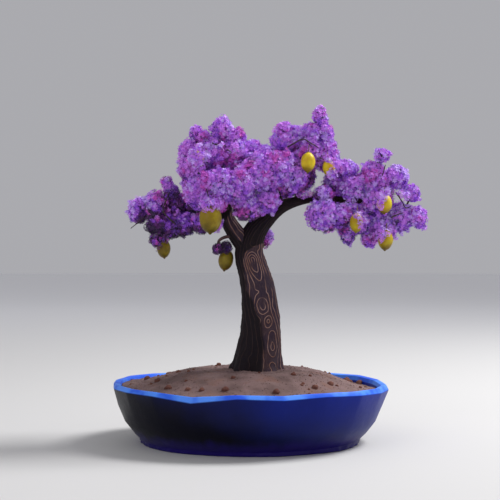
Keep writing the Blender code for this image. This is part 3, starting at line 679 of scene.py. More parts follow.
def pot_ring(radius, height, spread=None, rise=None):
    """One ring of the pot's facets: a radius and height in mm, and what each corner adds to them."""
    ring = []
    for side in range(POT_SIDES):
        angle = POT_TURN + side * math.tau / POT_SIDES
        reach = (radius + (spread[side] if spread else 0)) * MM
        up = (height + (rise[side] if rise else 0)) * MM
        ring.append((reach * math.sin(angle), -reach * math.cos(angle), up))
    return ring


def rounded(ring, roundness):
    """A ring with more points, its flat facets swollen towards an arc that has the same mean radius."""
    flat = 1 - math.cos(math.pi / POT_SIDES)
    finer = []
    for number, corner in enumerate(ring):
        after = Vector(ring[(number + 1) % POT_SIDES])
        start = Vector(corner)
        for step in range(POT_FINER):
            share = step / POT_FINER
            point = start.lerp(after, share)
            reach = start.xy.length + (after.xy.length - start.xy.length) * share
            arc = point.xy.normalized() * reach * (1 - flat / 2)
            point.xy = point.xy.lerp(arc, roundness)
            finer.append(point)
    return finer


def pot_rings():
    """The pot's rings from its underside over the lip to its inner floor, and how much of each is lip."""
    half_spread = [s / 2 for s in LIP_SPREAD_MM]
    soft_rise = [rise * LIP_EASE for rise in LIP_RISE_MM]
    rings, lip = [], []
    for number, (radius, height) in enumerate(POT_OUTSIDE):
        top = number == len(POT_OUTSIDE) - 1
        spread = FOOT_SPREAD_MM if number == 0 else LIP_SPREAD_MM if top else half_spread
        ring = pot_ring(radius, height, spread, LIP_RISE_MM if top else None)
        rings.append(rounded(ring, LIP_ROUND if top else WALL_ROUND))
        lip.append(LIP_EDGE if top else 0.0)
    for radius, height in POT_LIP:
        rings.append(rounded(pot_ring(radius, height, half_spread, soft_rise), LIP_ROUND))
        lip.append(1.0)
    for radius, height in POT_INSIDE:
        rings.append(rounded(pot_ring(radius, height), WALL_ROUND))
        lip.append(INNER_LIP)
    return rings, [share for share in lip for _ in range(POT_SIDES * POT_FINER)]


def bore(pot, place):
    """Cuts a drain hole through the pot's floor and gives the drill."""
    drill = bmesh.new()
    ends = {"radius1": DRAIN_RADIUS, "radius2": DRAIN_RADIUS, "depth": DRAIN_DEPTH}
    bmesh.ops.create_cone(drill, cap_ends=True, segments=DRAIN_SIDES, **ends)
    cutter = from_bmesh("drain_hole", drill)
    cutter.location = place
    cut = pot.modifiers.new("drain", "BOOLEAN")
    cut.operation, cut.object = "DIFFERENCE", cutter
    return cutter


def build_pot(looks):
    """A shell of facets with two drain holes, softened edges and an uneven wall."""
    rings, lip = pot_rings()
    points = [point for ring in rings for point in ring]
    faces = rings_to_faces(len(rings), POT_SIDES * POT_FINER)
    pot = new_piece("pot_glazed", points, faces, attributes={"lip": lip})
    turn_outwards(pot)
    cutters = [bore(pot, (side * DRAIN_OFFSET, 0, 0)) for side in (-1, 1)]
    soften = pot.modifiers.new("soften", "BEVEL")
    soften.width, soften.segments, soften.limit_method = looks.edge, POT_BEVEL_STEPS, "ANGLE"
    soften.angle_limit = POT_BEVEL_ANGLE
    refine = pot.modifiers.new("refine", "SUBSURF")
    refine.subdivision_type = "SIMPLE"
    refine.levels = refine.render_levels = 1
    mesh = evaluated_mesh(pot)
    pot.modifiers.clear()
    for cutter in cutters:
        discard(cutter)
    pot.data = mesh
    make_uneven(mesh, looks.unevenness)
    mesh.shade_smooth()
    mesh.set_sharp_from_angle(angle=POT_SHARP_ANGLE)
    mesh.materials.clear()
    mesh.materials.append(glaze(looks))
    keep(pot, ["pot"])


def make_uneven(mesh, unevenness):
    """Lets the pot's wall wander and ripples its foot, but leaves the flat underside alone."""
    normals = [vertex.normal.copy() for vertex in mesh.vertices]
    for vertex, normal in zip(mesh.vertices, normals):
        if vertex.co.z <= POT_FLAT_Z:
            continue
        foot = 1 - step_between(vertex.co.z, *FOOT_RIPPLE_FADES)
        out = Vector((vertex.co.x, vertex.co.y, 0)).normalized()
        vertex.co += normal * (unevenness * noise_at(vertex.co, POT_WAVE))
        if out.dot(normal) > FOOT_RIPPLE_FACING:
            vertex.co += out * foot * FOOT_RIPPLE * noise_at(vertex.co, *FOOT_RIPPLE_PATCHES)


def glaze(looks):
    """Glossy glaze: nearly black on one side and blue on the other, as painted shade and light, pale on the
    lip as painted light, and violet at the foot.
    """
    made = Finish("blue_glaze", {"Coat Weight": 0.03, "Coat Roughness": 0.2, "Specular IOR Level": 0.12})
    side, height = made.axis(0), made.axis(2)
    cloud = made.noise(60 * MM, 4)
    run = made.noise(14 * MM, 3, (1, 1, 0.22))
    # Painted shade and light: the glaze is black to the left and below, and blue to the right and above.
    lit = side * GLAZE_RIGHT + height * GLAZE_UP + (cloud - 0.5) * 0.5 - 0.5
    painted_light = lit.between(-0.5, 0.95)
    colour = made.mix(painted_light, looks.shadow, looks.body)
    foot = 1 - (height + (run - 0.5) * FOOT_GLAZE_RUNS).between(*FOOT_GLAZE)
    colour = made.mix(foot * 0.8, colour, looks.foot)
    # The runs fade where the glaze is painted in shade.
    streaks = run.between(0.6, 0.8) * painted_light * 0.3
    colour = made.mix(streaks, colour, looks.streak)
    # The pale lip is painted light on the rim's top.
    lip = made.attribute("lip").between(*LIP_SHOWS)
    lit_lip_colour = made.mix(made.noise(34 * MM, 2).between(0.4, 0.6), looks.lip_deep, looks.lip)
    colour = made.mix(lip, colour, lit_lip_colour)
    specks = 1 - made.cells(3.2 * MM).between(0.06, 0.16)
    colour = made.mix(specks * 0.2, colour, looks.shadow)
    gloss = (made.noise(5 * MM) - 0.5) * 0.16 + 0.42 + lip * 0.06
    dimples = made.noise(2.6 * MM, 2) * 0.5 + made.noise(11 * MM, 2)
    made.drive({"Base Color": colour, "Roughness": gloss, "Normal": made.bump(dimples, 0.35 * MM, 0.5)})
    return made.material


# ---------------------------------------------------------------- soil


def soil_height(x, y, share):
    """Height of the soil where share runs from 0 at the middle to 1 at the pot's wall."""
    edge = SOIL_EDGE_Z - SOIL_TILT * x
    mound = 0.5 + 0.5 * math.cos(math.pi * max(0.0, (share - SOIL_LEVEL) / (1 - SOIL_LEVEL)))
    bumps = SOIL_BUMP * math.sin(x * SOIL_WAVES[0]) * math.cos(y * SOIL_WAVES[1]) * (1 - mound)
    return edge + (GROUND_Z - edge) * mound + bumps


def inner_radius(height):
    """The pot's inner radius at a height, in metres."""
    walls = [POT_LIP[-1], *POT_INSIDE]
    for (upper, top), (lower, bottom) in zip(walls, walls[1:]):
        if height >= bottom * MM or bottom == walls[-1][1]:
            share = (height - bottom * MM) / ((top - bottom) * MM)
            return (lower + (upper - lower) * min(share, 1.0)) * MM
    return walls[-1][0] * MM


def wall_reach(angle):
    """How far the soil reaches, from the middle to the pot's faceted wall."""
    facet = math.tau / POT_SIDES
    off = (angle - POT_TURN) % facet - facet / 2
    wide = inner_radius(SOIL_EDGE_Z - SOIL_TILT * math.sin(angle) * inner_radius(SOIL_EDGE_Z))
    return wide * math.cos(facet / 2) / math.cos(off)


def soil_point(angle, share):
    """A point on the soil at this turn, this share of the way to the pot's wall."""
    reach = wall_reach(angle) * share
    x, y = reach * math.sin(angle), -reach * math.cos(angle)
    return Vector((x, y, soil_height(x, y, share) + relief(Vector((x, y, 0)), SOIL_RELIEF)))


def build_soil(looks):
    """The mound, closed underneath, with crumbs and pebbles scattered over it."""
    points, top, under = mound_mesh(looks.sides, looks.rings)
    mound = new_piece("soil_mound", points, top + under, earth("earth", looks.dark, looks.pale, looks.red))
    mound.data.shade_smooth()
    ground = new_piece("ground", points, top)
    dice = random.Random(SEED)
    crumb_ball = lumpy_ball("crumb", *CRUMB_BALL, dice)
    pebble_ball = lumpy_ball("pebble", *PEBBLE_BALL, dice)
    crumb_earth = earth("crumb_earth", looks.dark, looks.pale, looks.red)
    crumbs = scatter(ground, crumb_ball, looks.crumbs, *CRUMB_SIZES, crumb_earth, "soil_crumbs", CRUMB_SEED)
    clay = earth("pebble_clay", looks.clay, looks.pebble, looks.red)
    pebbles = scatter(ground, pebble_ball, looks.pebbles, *PEBBLE_SIZES, clay, "soil_pebbles", PEBBLE_SEED)
    stones = new_piece("soil_stones", *stone_mesh(pebble_ball.data, dice), clay)
    stones.data.shade_smooth()
    for thing in (ground, crumb_ball, pebble_ball):
        discard(thing)
    keep(mound, ["soil"])
    for piece in (crumbs, pebbles, stones):
        keep(piece)


def mound_mesh(sides, rings):
    """The mound's points, the faces of its top and those of its closed underside."""
    points = [Vector((0, 0, SOIL_DEPTH_Z)), Vector((0, 0, GROUND_Z))]
    for ring in range(1, rings + 1):
        for side in range(sides):
            points.append(soil_point(side * math.tau / sides, ring / rings))
    outer = len(points) - sides
    last = len(points)
    points += [Vector((p.x * SOIL_UNDERSIDE, p.y * SOIL_UNDERSIDE, SOIL_DEPTH_Z)) for p in points[outer:]]
    top, under = [], []
    for side in range(sides):
        after = (side + 1) % sides
        top.append((1, 2 + side, 2 + after))
        for low in range(2, outer, sides):
            top.append((low + side, low + sides + side, low + sides + after, low + after))
        under.append((outer + side, last + side, last + after, outer + after))
        under.append((last + side, 0, last + after))
    return points, top, under


def stone_mesh(ball, dice):
    """Points and faces of the pebbles that lie apart: one ball, turned another way for each."""
    points, faces = [], []
    for x, y, size in NAMED_PEBBLES:
        angle = math.atan2(x, -y)
        place = soil_point(angle, math.hypot(x, y) * MM / wall_reach(angle))
        spin = Euler([dice.uniform(0, math.tau) for _ in range(3)]).to_matrix()
        faces += [tuple(corner + len(points) for corner in face.vertices) for face in ball.polygons]
        points += [place + spin @ vertex.co * size * MM for vertex in ball.vertices]
    return points, faces


def lumpy_ball(name, level, lumps, dice):
    """A small uneven ball of radius 1."""
    ball = bmesh.new()
    bmesh.ops.create_icosphere(ball, subdivisions=level, radius=1.0)
    for vertex in ball.verts:
        vertex.co *= 1 + dice.uniform(-lumps, lumps)
    return from_bmesh(name, ball)


def scatter(ground, grain, count, least, most, material, name, seed):
    """Copies of one grain, turned and sized at random, strewn over the ground."""
    nodes = Repeat(name)
    area = sum(face.area for face in ground.data.polygons)
    density = nodes.wish("Density", "NodeSocketFloat", count / area)
    source = nodes.wish("Grain", "NodeSocketObject", grain)
    smallest = nodes.wish("Smallest", "NodeSocketFloat", least)
    largest = nodes.wish("Largest", "NodeSocketFloat", most)
    values = {"Mesh": nodes.base, "Density": density, "Seed": seed}
    spots = nodes.node("GeometryNodeDistributePointsOnFaces", values=values)
    settings = {"data_type": "FLOAT"}
    size = nodes.node("FunctionNodeRandomValue", settings, {2: smallest, 3: largest, "Seed": seed}, 1)
    settings = {"data_type": "FLOAT_VECTOR"}
    full_turn = (math.tau, math.tau, math.tau)
    turn = nodes.node("FunctionNodeRandomValue", settings, {0: (0, 0, 0), 1: full_turn, "Seed": seed + 1})
    rotation = nodes.node("FunctionNodeEulerToRotation", values={0: turn})
    return nodes.grow(nodes.instances(spots, source, rotation, size), material, ground, name)


def earth(name, dark, pale, red):
    """Dry soil: pale dust over dark grains, with rusty patches."""
    made = Finish(name, {"Roughness": 0.95})
    dust = made.noise(30 * MM, 4).between(0.3, 0.62)
    grains = made.cells(2.4 * MM)
    colour = made.mix(dust, dark, pale)
    colour = made.mix(made.noise(26 * MM, 3).between(0.54, 0.72) * 0.42, colour, red)
    colour = made.mix(grains.between(0.4, 0.75) * 0.14, colour, dark)
    rough = made.noise(1.6 * MM, 4) + grains * -0.4
    made.drive({"Base Color": colour, "Normal": made.bump(rough, 0.6 * MM, 0.8)})
    return made.material


# ---------------------------------------------------------------- limbs


def smooth_path(rows, spacing):
    """Framed samples along one smooth curve through rows of x, y, z and radius in mm.

    A sample is a place and a radius, in metres, the direction that the limb runs in, and two directions
    across it, which turn as little as possible on the way.
    """
    rows = [Vector(row) * MM for row in rows]
    padded = [rows[0] * 2 - rows[1], *rows, rows[-1] * 2 - rows[-2]]
    curve = []
    for a, b, c, d in zip(padded, padded[1:], padded[2:], padded[3:]):
        steps = math.ceil((c.xyz - b.xyz).length / spacing)
        for step in range(steps):
            t = step / steps
            bend, twist = 2 * a - 5 * b + 4 * c - d, 3 * b - a - 3 * c + d
            curve.append((2 * b + (c - a) * t + bend * t**2 + twist * t**3) / 2)
    curve.append(rows[-1])
    samples = []
    across = Vector((0, 1, 0))
    for k, row in enumerate(curve):
        along = (curve[min(k + 1, len(curve) - 1)] - curve[max(k - 1, 0)]).xyz.normalized()
        across = (across - along * across.dot(along)).normalized()
        samples.append((row.xyz, row.w, along, across, along.cross(across)))
    return samples


def bough_rows(points, radii):
    """A bough's rows, its radius falling evenly from one point to the next."""
    last = len(points) - 1
    return [(*p, radii[0] + (radii[1] - radii[0]) * k / last) for k, p in enumerate(points)]


def limb_rows():
    """The rows of the trunk with the right limb, of the left limb, and of every bough by its mass's name."""
    rows = {"right_end": (FOOT_ROW, *MAIN), "upper_left": LEFT}
    for name, mass in CROWN.items():
        if "bough" in mass:
            rows[name] = bough_rows(*mass["bough"])
    return rows


def root_ridge(place, turn):
    """How far the trunk's foot stands out between its root ridges. It is 1 away from the foot."""
    low = max(0.0, min(1.0, (FLARE_TOP - place.z) / (FLARE_TOP - GROUND_Z)))
    ridge = math.cos(ROOT_RIDGES * (turn + math.pi) + ROOT_RIDGE_TURN) - ROOT_RIDGE_SINK
    return 1.0 + ROOT_RIDGE_DEPTH * low**FLARE_POWER * ridge


def growth_line(place, turn, pitch, knots, axis):
    """Which growth line runs through a point of a limb, counted sideways from the axis at its front.

    Lines stand pitch radians apart. They wander, and close in rings round each knot.
    """
    line = lines_to(turn - read_along(axis, place.z / MM), pitch) + relief(place, GRAIN_WANDER)
    for height, knot_turn, wide, above, below, depth in knots:
        turned = abs(math.remainder(knot_turn - read_along(axis, height), math.tau))
        inward = -1 if turned > math.pi / 2 else 1  # counted the other way on the back
        side = math.remainder(turn - knot_turn, math.tau) / wide
        up = (place.z / MM - height) / (above if place.z / MM > height else below)
        away = math.hypot(side, up)
        near = 1 - step_between(away, *KNOT_FADES)
        rim = lines_to(turned + inward * KNOT_RIM * wide, pitch)
        line += (inward * depth * (away - 1) + rim - line) * near
    return line + relief(place, GRAIN_JITTER)


def lines_to(turn, pitch):
    """How many growth lines lie between the axis and a turn."""
    return math.hypot(2 * math.sin(turn / 2), GRAIN_BEND) / pitch


def round_about(across, over, turn):
    """The direction at this turn in the plane of two directions."""
    return across * math.cos(turn) + over * math.sin(turn)


def limb_skin(rows, sides, spacing, pitch, knots, axis):
    """The bark of one limb: its points, the number of rings that they form, and for each point its growth
    line, how many lines there are for each mm, and how strong the line is."""
    samples = smooth_path(rows, spacing)
    turns = [side * math.tau / sides - math.pi for side in range(sides)]
    places, lines = [], []
    for place, radius, _, across, over in samples:
        for turn in turns:
            reach = radius * root_ridge(place, turn)
            point = place - round_about(across, over, turn) * reach
            places.append(point)
            lines.append(growth_line(point, turn, pitch, knots, axis))
    points, slopes, strengths = [], [], []
    last = len(samples) - 1
    for k, (place, radius, *_) in enumerate(samples):
        for side in range(sides):
            here = k * sides + side
            left, right = k * sides + (side - 1) % sides, k * sides + (side + 1) % sides
            low, high = max(0, k - 1) * sides + side, min(last, k + 1) * sides + side
            around = (lines[right] - lines[left]) / max((places[right] - places[left]).length, TINY)
            upward = (lines[high] - lines[low]) / max((places[high] - places[low]).length, TINY)
            slopes.append(max(math.hypot(around, upward) * MM, LEAST_SLOPE))
            strengths.append(step_between(noise_at(places[here], *WORN_PATCHES), *WORN_FADES))
            points.append(carved(places[here], place, radius, lines[here], slopes[-1], strengths[-1]))
    return points, len(samples), lines, slopes, strengths


def carved(point, middle, radius, line, slope, strength):
    """A point of bark, moved out by its growth line, its lumps and its fibres."""
    gap = abs((line + 0.5) % 1.0 - 0.5) / slope
    ridge = RIDGE_RISE * math.exp(-((gap / RIDGE_WIDTH) ** 2)) * strength
    thick = min(1.0, radius / THICK_LIMB)
    fibres = relief(stretched(point, FIBRE_STRETCH), BARK_FIBRES)
    rise = ridge + relief(point, BARK_LUMPS) * thick + fibres
    return point + (point - middle).normalized() * rise * max(LEAST_RELIEF, thick)


def dusk_at(place, turn, dusk_edge):
    """1 where the bark is painted in shadow, dark on the left, and 0 to the right of this edge."""
    edge = read_along(dusk_edge, place.z / MM)
    return 1 - step_between(math.sin(turn) + relief(place, DUSK_WANDER), edge - DUSK_BLUR, edge + DUSK_BLUR)


def build_bark(name, skins, looks, nodes, dusk_edge=None):
    """One piece of bark over these limbs. A skin is its rows, sides, spacing, pitch, knots and axis."""
    points, faces = [], []
    marks = {"grain": [], "slope": [], "strength": [], "dusk": []}
    for rows, sides, spacing, pitch, knots, axis in skins:
        found, count, lines, slopes, strengths = limb_skin(rows, sides, spacing, pitch, knots, axis)
        faces += rings_to_faces(count, sides, len(points))
        points += found
        marks["grain"] += lines
        marks["slope"] += slopes
        marks["strength"] += strengths
        # Each point's share of painted shadow: the trunk's left side, and an even share on every bough.
        for number, point in enumerate(found):
            turn = (number % sides) * math.tau / sides - math.pi
            marks["dusk"].append(dusk_at(point, turn, dusk_edge) if dusk_edge else looks.bough_dusk)
    piece = new_piece(name, points, faces, bark(name, looks), marks)
    turn_outwards(piece)
    piece.data.shade_smooth()
    keep(piece, nodes)


def bark(name, looks):
    """Dark bark with pale carved growth lines, which fade where painted shadow darkens it."""
    made = Finish(name, {"Specular IOR Level": 0.2})
    # dusk is the share of painted shadow: it darkens the bark and hides the growth lines.
    dusk = made.attribute("dusk")
    gap = ((made.attribute("grain") + 0.5).fraction() - 0.5).absolute() / made.attribute("slope")
    worn = made.noise(7 * MM, 3)
    line = (1 - gap.between(0.2, looks.line_width)) * made.attribute("strength")
    line = line * (1 - dusk * 0.93) * worn.between(0.2, 0.5)
    fibre = made.noise(1.3 * MM, 4, (1, 1, 0.18), 0.6)
    patch = made.noise(20 * MM, 4)
    colour = made.mix(patch.between(0.35, 0.7), looks.bark, looks.bark_warm)
    colour = made.mix(fibre.between(0.45, 0.75) * 0.45, colour, looks.bark_pale)
    colour = made.mix(dusk * 0.85, colour, looks.painted_shadow)
    glow = made.mix(made.noise(12 * MM).between(0.35, 0.65), looks.line, looks.line_warm)
    colour = made.mix(line * 0.9, colour, glow)
    height = fibre * 0.7 + made.noise(4 * MM, 3) * 0.8 + line * 0.5
    made.drive({"Base Color": colour, "Normal": made.bump(height, 0.5 * MM, 0.9)})
    made.drive({"Roughness": 0.72 + fibre * 0.2})
    return made.material


# ---------------------------------------------------------------- twigs


def lobes_of(name):
    """The lobes of a mass as (centre, radii) in metres."""
    return [(Vector(lobe[:3]) * MM, Vector(lobe[3:]) * MM) for lobe in CROWN[name]["lobes"]]


def fruit_of(name):
    """The lemons of a mass as (centre, length, radius) in metres."""
    return [(Vector(f[:3]) * MM, f[3] * MM, f[4] * MM) for f in CROWN[name]["fruit"]]


def every_fruit():
    return [fruit for name in CROWN for fruit in fruit_of(name)]


def stretched(out, radii):
    """A direction out of a ball of radius 1, stretched to a lobe of these radii."""
    return Vector((out.x * radii.x, out.y * radii.y, out.z * radii.z))


def squeezed(off, radii):
    """The way from a lobe's centre, squeezed to a ball of radius 1."""
    return Vector((off.x / radii.x, off.y / radii.y, off.z / radii.z))


def share_of(place, centre, radii):
    """How far out a place lies in a lobe: 0 at its centre and 1 on its surface."""
    return squeezed(place - centre, radii).length


def nearness(place, lobes):
    """How far out a place lies in the lobe that it is deepest in."""
    return min(share_of(place, centre, radii) for centre, radii in lobes)


def random_offset(dice, reach):
    return Vector([dice.uniform(-reach, reach) for _ in range(3)])


def random_way(dice):
    """A direction that may point anywhere with the same chance."""
    return Vector([dice.gauss(0, 1) for _ in range(3)]).normalized()


def bent(start, end, radius, dice, sag=0.12, stops=4):
    """A twig from start to end that bows a little to one side, as (place, radius) rows."""
    side = random_offset(dice, 1) * (end - start).length * sag
    rows = []
    for stop in range(stops + 1):
        share = stop / stops
        place = start.lerp(end, share) + side * math.sin(math.pi * share)
        rows.append((place, radius * (1 - TWIG_TAPER * share)))
    return rows


def grow_twigs(umbels):
    """Every twig: from lobe to lobe, out to the umbels, to each lemon, and those that show by themselves."""
    dice = random.Random(SEED + 1)
    runs = []
    for name in CROWN:
        own = lobes_of(name)
        for number, (centre, radii) in enumerate(own[1:], 1):
            parent = min(own[:number], key=lambda lobe: (lobe[0] - centre).length)
            thick = LOBE_TWIG_RADIUS * (LOBE_TWIG_LEAST + min(radii) / LOBE_TWIG_LOBE)
            runs.append(bent(parent[0], centre, thick, dice))
        for centre, length, _ in fruit_of(name):
            top = centre + Vector((0, 0, length * LEMON_TOP))
            parent = min(own, key=lambda lobe: (lobe[0] - top).length)
            runs.append(bent(parent[0], top, STALK_RADIUS, dice, sag=0.05))
    for mass, lobe, place, *_ in umbels:
        centre, radii = lobes_of(mass)[lobe]
        apart = share_of(place, centre, radii) > 1
        if apart or dice.random() < UMBEL_TWIG_SHARE:
            start = centre.lerp(place, dice.uniform(*UMBEL_TWIG_START))
            thick = FINE_TWIG_RADIUS * (APART_TWIG if apart else 1)
            runs.append(bent(start, place, thick, dice, sag=0.15, stops=3))
    for radius, points in SHOWING_TWIGS:
        samples = smooth_path([(*point, radius) for point in points], SHOWING_TWIG_STEP)
        last = len(samples) - 1
        runs.append([(s[0], s[1] * (1 - SHOWING_TWIG_TAPER * k / last)) for k, s in enumerate(samples)])
    return runs


def build_twigs(looks, umbels):
    """All twigs as one piece: a curve for each, drawn out to a tube by Geometry Nodes."""
    points, edges, radii = [], [], []
    for run in grow_twigs(umbels):
        first = len(points)
        for place, radius in run:
            points.append(place)
            radii.append(radius)
        edges += [(k, k + 1) for k in range(first, len(points) - 1)]
    wires = new_piece("wires", points, [], attributes={"radius_m": radii}, edges=edges)
    nodes = Repeat("twigs")
    sides = nodes.wish("Sides", "NodeSocketInt", looks.twig_sides)
    curve = nodes.node("GeometryNodeMeshToCurve", values={"Mesh": nodes.base})
    values = {"Resolution": sides, "Radius": 1.0}
    outline = nodes.node("GeometryNodeCurvePrimitiveCircle", values=values)
    scale = nodes.attribute("radius_m", "FLOAT")
    values = {"Curve": curve, "Profile Curve": outline, "Scale": scale, "Fill Caps": True}
    tubes = nodes.node("GeometryNodeCurveToMesh", values=values)
    twigs = nodes.grow(tubes, twig_bark(looks), wires, "twigs")
    discard(wires)
    turn_outwards(twigs)
    keep(twigs)


def twig_bark(looks):
    made = Finish("twig_bark", {"Roughness": 0.8})
    colour = made.mix(made.noise(9 * MM, 3).between(0.4, 0.65), looks.twig, looks.bark_warm)
    made.drive({"Base Color": colour, "Normal": made.bump(made.noise(1.2 * MM, 3), 0.25 * MM, 0.7)})
    return made.material


# ---------------------------------------------------------------- lemons


def lemon_profile():
    """A lemon's radius and level in shares, along a smooth line through the points of its profile."""
    rows = [(wide * PROFILE_SCALE, 0, level * PROFILE_SCALE, 0) for wide, level in LEMON_PROFILE]
    return [
        (place.x / MM / PROFILE_SCALE, place.z / MM / PROFILE_SCALE)
        for place, *_ in smooth_path(rows, LEMON_STEP)
    ]


def build_lemons(looks):
    """Lemons that hang with their nipples down, and the star of green that holds each."""
    points, faces, levels, green, green_faces = [], [], [], [], []
    profile = lemon_profile()
    for centre, length, radius in every_fruit():
        swing = [LEMON_TILT * noise_at(centre, *patches) for patches in LEMON_SWINGS]
        tilt = Euler((*swing, 0)).to_matrix()
        faces += rings_to_faces(len(profile), LEMON_SIDES, len(points))
        for wide, level in profile:
            for side in range(LEMON_SIDES):
                angle = side * math.tau / LEMON_SIDES
                out = Vector((math.cos(angle), math.sin(angle), 0)) * max(wide, LEMON_POLE) * radius
                spot = centre + tilt @ (out + Vector((0, 0, level * length)))
                points.append(centre + (spot - centre) * (1 + relief(spot, LEMON_LUMPS)))
                levels.append(level)
        add_calyx(green, green_faces, centre, tilt, length)
    rind = new_piece("lemons", points, faces, lemon_rind(looks), {"level": levels})
    calyx = new_piece("lemon_calyxes", green, green_faces, lemon_calyx(looks))
    for piece in (rind, calyx):
        turn_outwards(piece)
        piece.data.shade_smooth()
        keep(piece)


def add_calyx(points, faces, centre, tilt, length):
    """A thin five-pointed star, sunk on the lemon's top, and the stalk above it."""
    rows = [(wide * CALYX_TIP, wide * CALYX_NOTCH, level * length) for wide, level in CALYX_PROFILE]
    stalk = LEMON_STALK_RADIUS
    rows += [(stalk, stalk, LEMON_STALK_FOOT * length + rise) for rise in LEMON_STALK_RISES]
    faces += rings_to_faces(len(rows), CALYX_SIDES, len(points))
    for tip, notch, rise in rows:
        for side in range(CALYX_SIDES):
            angle = side * math.tau / CALYX_SIDES
            reach = tip if side % 2 else notch
            points.append(centre + tilt @ Vector((math.cos(angle) * reach, math.sin(angle) * reach, rise)))


def lemon_rind(looks):
    """Yellow rind with pores, painted in shade with dark green towards the lower tip and on lemons that hang
    low on the left.
    """
    made = Finish("lemon_rind", {"Subsurface Weight": 0.08, "Specular IOR Level": 0.3, "Coat Weight": 0.06})
    patch = made.noise(12 * MM, 3)
    pores = made.cells(1.5 * MM)
    # Painted shade: lemons that hang low on the left turn dark green.
    out_of_shade = (made.axis(2) + made.axis(0) * LEMON_LIT_RIGHT).between(*LEMON_SHADE_FADES)
    colour = made.mix(patch.between(0.35, 0.7), looks.lemon, looks.lemon_ripe)
    colour = made.mix((1 - out_of_shade) * (0.95 - patch * 0.4), colour, looks.lemon_green)
    # Painted shade: the lower tip turns dark green.
    tip = 1 - (made.attribute("level") + (patch - 0.5) * 0.3).between(*SHADED_TIP)
    colour = made.mix(tip * 0.75, colour, looks.lemon_green)
    colour = made.mix((1 - pores.between(0.05, 0.3)) * 0.25, colour, looks.lemon_green)
    height = pores.between(0.0, 0.45) + made.noise(5 * MM, 2) * 0.6
    gloss = 0.42 + made.noise(4 * MM) * 0.16
    made.drive({"Base Color": colour, "Roughness": gloss, "Normal": made.bump(height, 0.3 * MM, 0.6)})
    return made.material


def lemon_calyx(looks):
    made = Finish("lemon_calyx", {"Roughness": 0.7})
    colour = made.mix(made.noise(2 * MM).between(0.4, 0.6), looks.calyx, looks.lemon_green)
    made.drive({"Base Color": colour, "Normal": made.bump(made.noise(1 * MM), 0.2 * MM, 0.6)})
    return made.material


# ---------------------------------------------------------------- blossom


def surroundings():
    """For each mass, the lobes of all the others, and all limbs as (place, radius) samples."""
    others = {}
    for name in CROWN:
        others[name] = [lobe for other in CROWN if other != name for lobe in lobes_of(other)]
    limbs = []
    for name, rows in limb_rows().items():
        for place, radius, *_ in smooth_path(rows, LIMB_STEP):
            if nearness(place, lobes_of(name)) > INSIDE_SHARE:
                limbs.append((place, radius))
    return others, limbs


def limb_gap(place, limbs):
    """How far a place is from the nearest limb's surface."""
    return min((place - spot).length - radius for spot, radius in limbs)


def has_room(place, own, number, foreign):
    """Whether a place on a lobe is clear of its mass's other lobes and in the space of its mass."""
    elsewhere = own[:number] + own[number + 1 :]
    if elsewhere and nearness(place, elsewhere) < HIDDEN_SHARE:
        return False
    return nearness(place, own) <= nearness(place, foreign) + SEAM


def grow_umbels():
    """Every umbel, as its mass, its lobe's number, its place, the way that it faces and its tint."""
    others, limbs = surroundings()
    dice = random.Random(SEED)
    umbels = []
    for name in CROWN:
        own = lobes_of(name)
        for number, lobe in enumerate(own):
            neighbours = own[:number] + own[number + 1 :] + others[name]
            count = round(lobe_area(lobe[1]) / UMBEL_AREA)
            for k in range(count):
                level = 1 - 2 * (k + 0.5) / count
                turn = k * GOLDEN + dice.uniform(-UMBEL_SWAY, UMBEL_SWAY)
                flat = math.sqrt(1 - level * level)
                out = Vector((flat * math.cos(turn), flat * math.sin(turn), level))
                depth = DOME_RADIUS * dice.uniform(*UMBEL_DEPTHS)
                place, tip = umbel_place(lobe, out, depth, neighbours)
                if has_room(tip, own, number, others[name]) and limb_gap(place, limbs) >= LIMB_ROOM:
                    facing = squeezed(out, lobe[1]).normalized()
                    umbels.append((name, number, place, facing, tint_of(place, facing, depth, dice)))
    return umbels + hang_veils(dice)


def hang_veils(dice):
    """The umbels that hang in front of lemons and limbs, each counted to the lobe that is nearest."""
    umbels = []
    for name, veils in VEILS.items():
        own = lobes_of(name)
        for veil in veils:
            place = Vector(veil) * MM
            number = min(range(len(own)), key=lambda k: share_of(place, *own[k]))
            facing = Vector((dice.uniform(*VEIL_SIDEWAYS), -1, dice.uniform(*VEIL_UPWARD))).normalized()
            umbels.append((name, number, place, facing, tint_of(place, facing, 0.0, dice)))
    return umbels


def umbel_place(lobe, out, depth, neighbours):
    """Where the umbel sits that grows this way out of a lobe, and where the tip of its dome is."""
    centre, radii = lobe
    skin = stretched(out, radii)
    skin *= 1 + UNEVEN * noise_at(centre + skin, *UNEVEN_PATCHES)
    drawn_in = DRAWN_IN * min(1.0, min(radii) / WIDE_LOBE)
    skin += skin.normalized() * (RAGGED * noise_at(centre + skin, *RAGGED_PATCHES) - drawn_in)
    way = skin.normalized()
    place = centre + skin - way * min(depth, skin.length * DEEPEST)
    place += valley_fill(place, way, neighbours)
    return place, place + way * DOME_RADIUS


def valley_fill(place, way, neighbours):
    """How far an umbel moves out of the valley between its lobe and the next."""
    nearest = min(neighbours, key=lambda lobe: share_of(place, *lobe))
    share = share_of(place, *nearest)
    if share > VALLEY_SHARE:
        return Vector()
    depth = min(1.0, (VALLEY_SHARE - share) / (VALLEY_SHARE - 1))
    return (way + (place - nearest[0]).normalized()).normalized() * VALLEY_FILL * depth


def lobe_area(radii):
    """Surface of a lobe, by Thomsen's formula."""
    x, y, z = (r**THOMSEN for r in radii)
    return 4 * math.pi * ((x * y + x * z + y * z) / 3) ** (1 / THOMSEN)


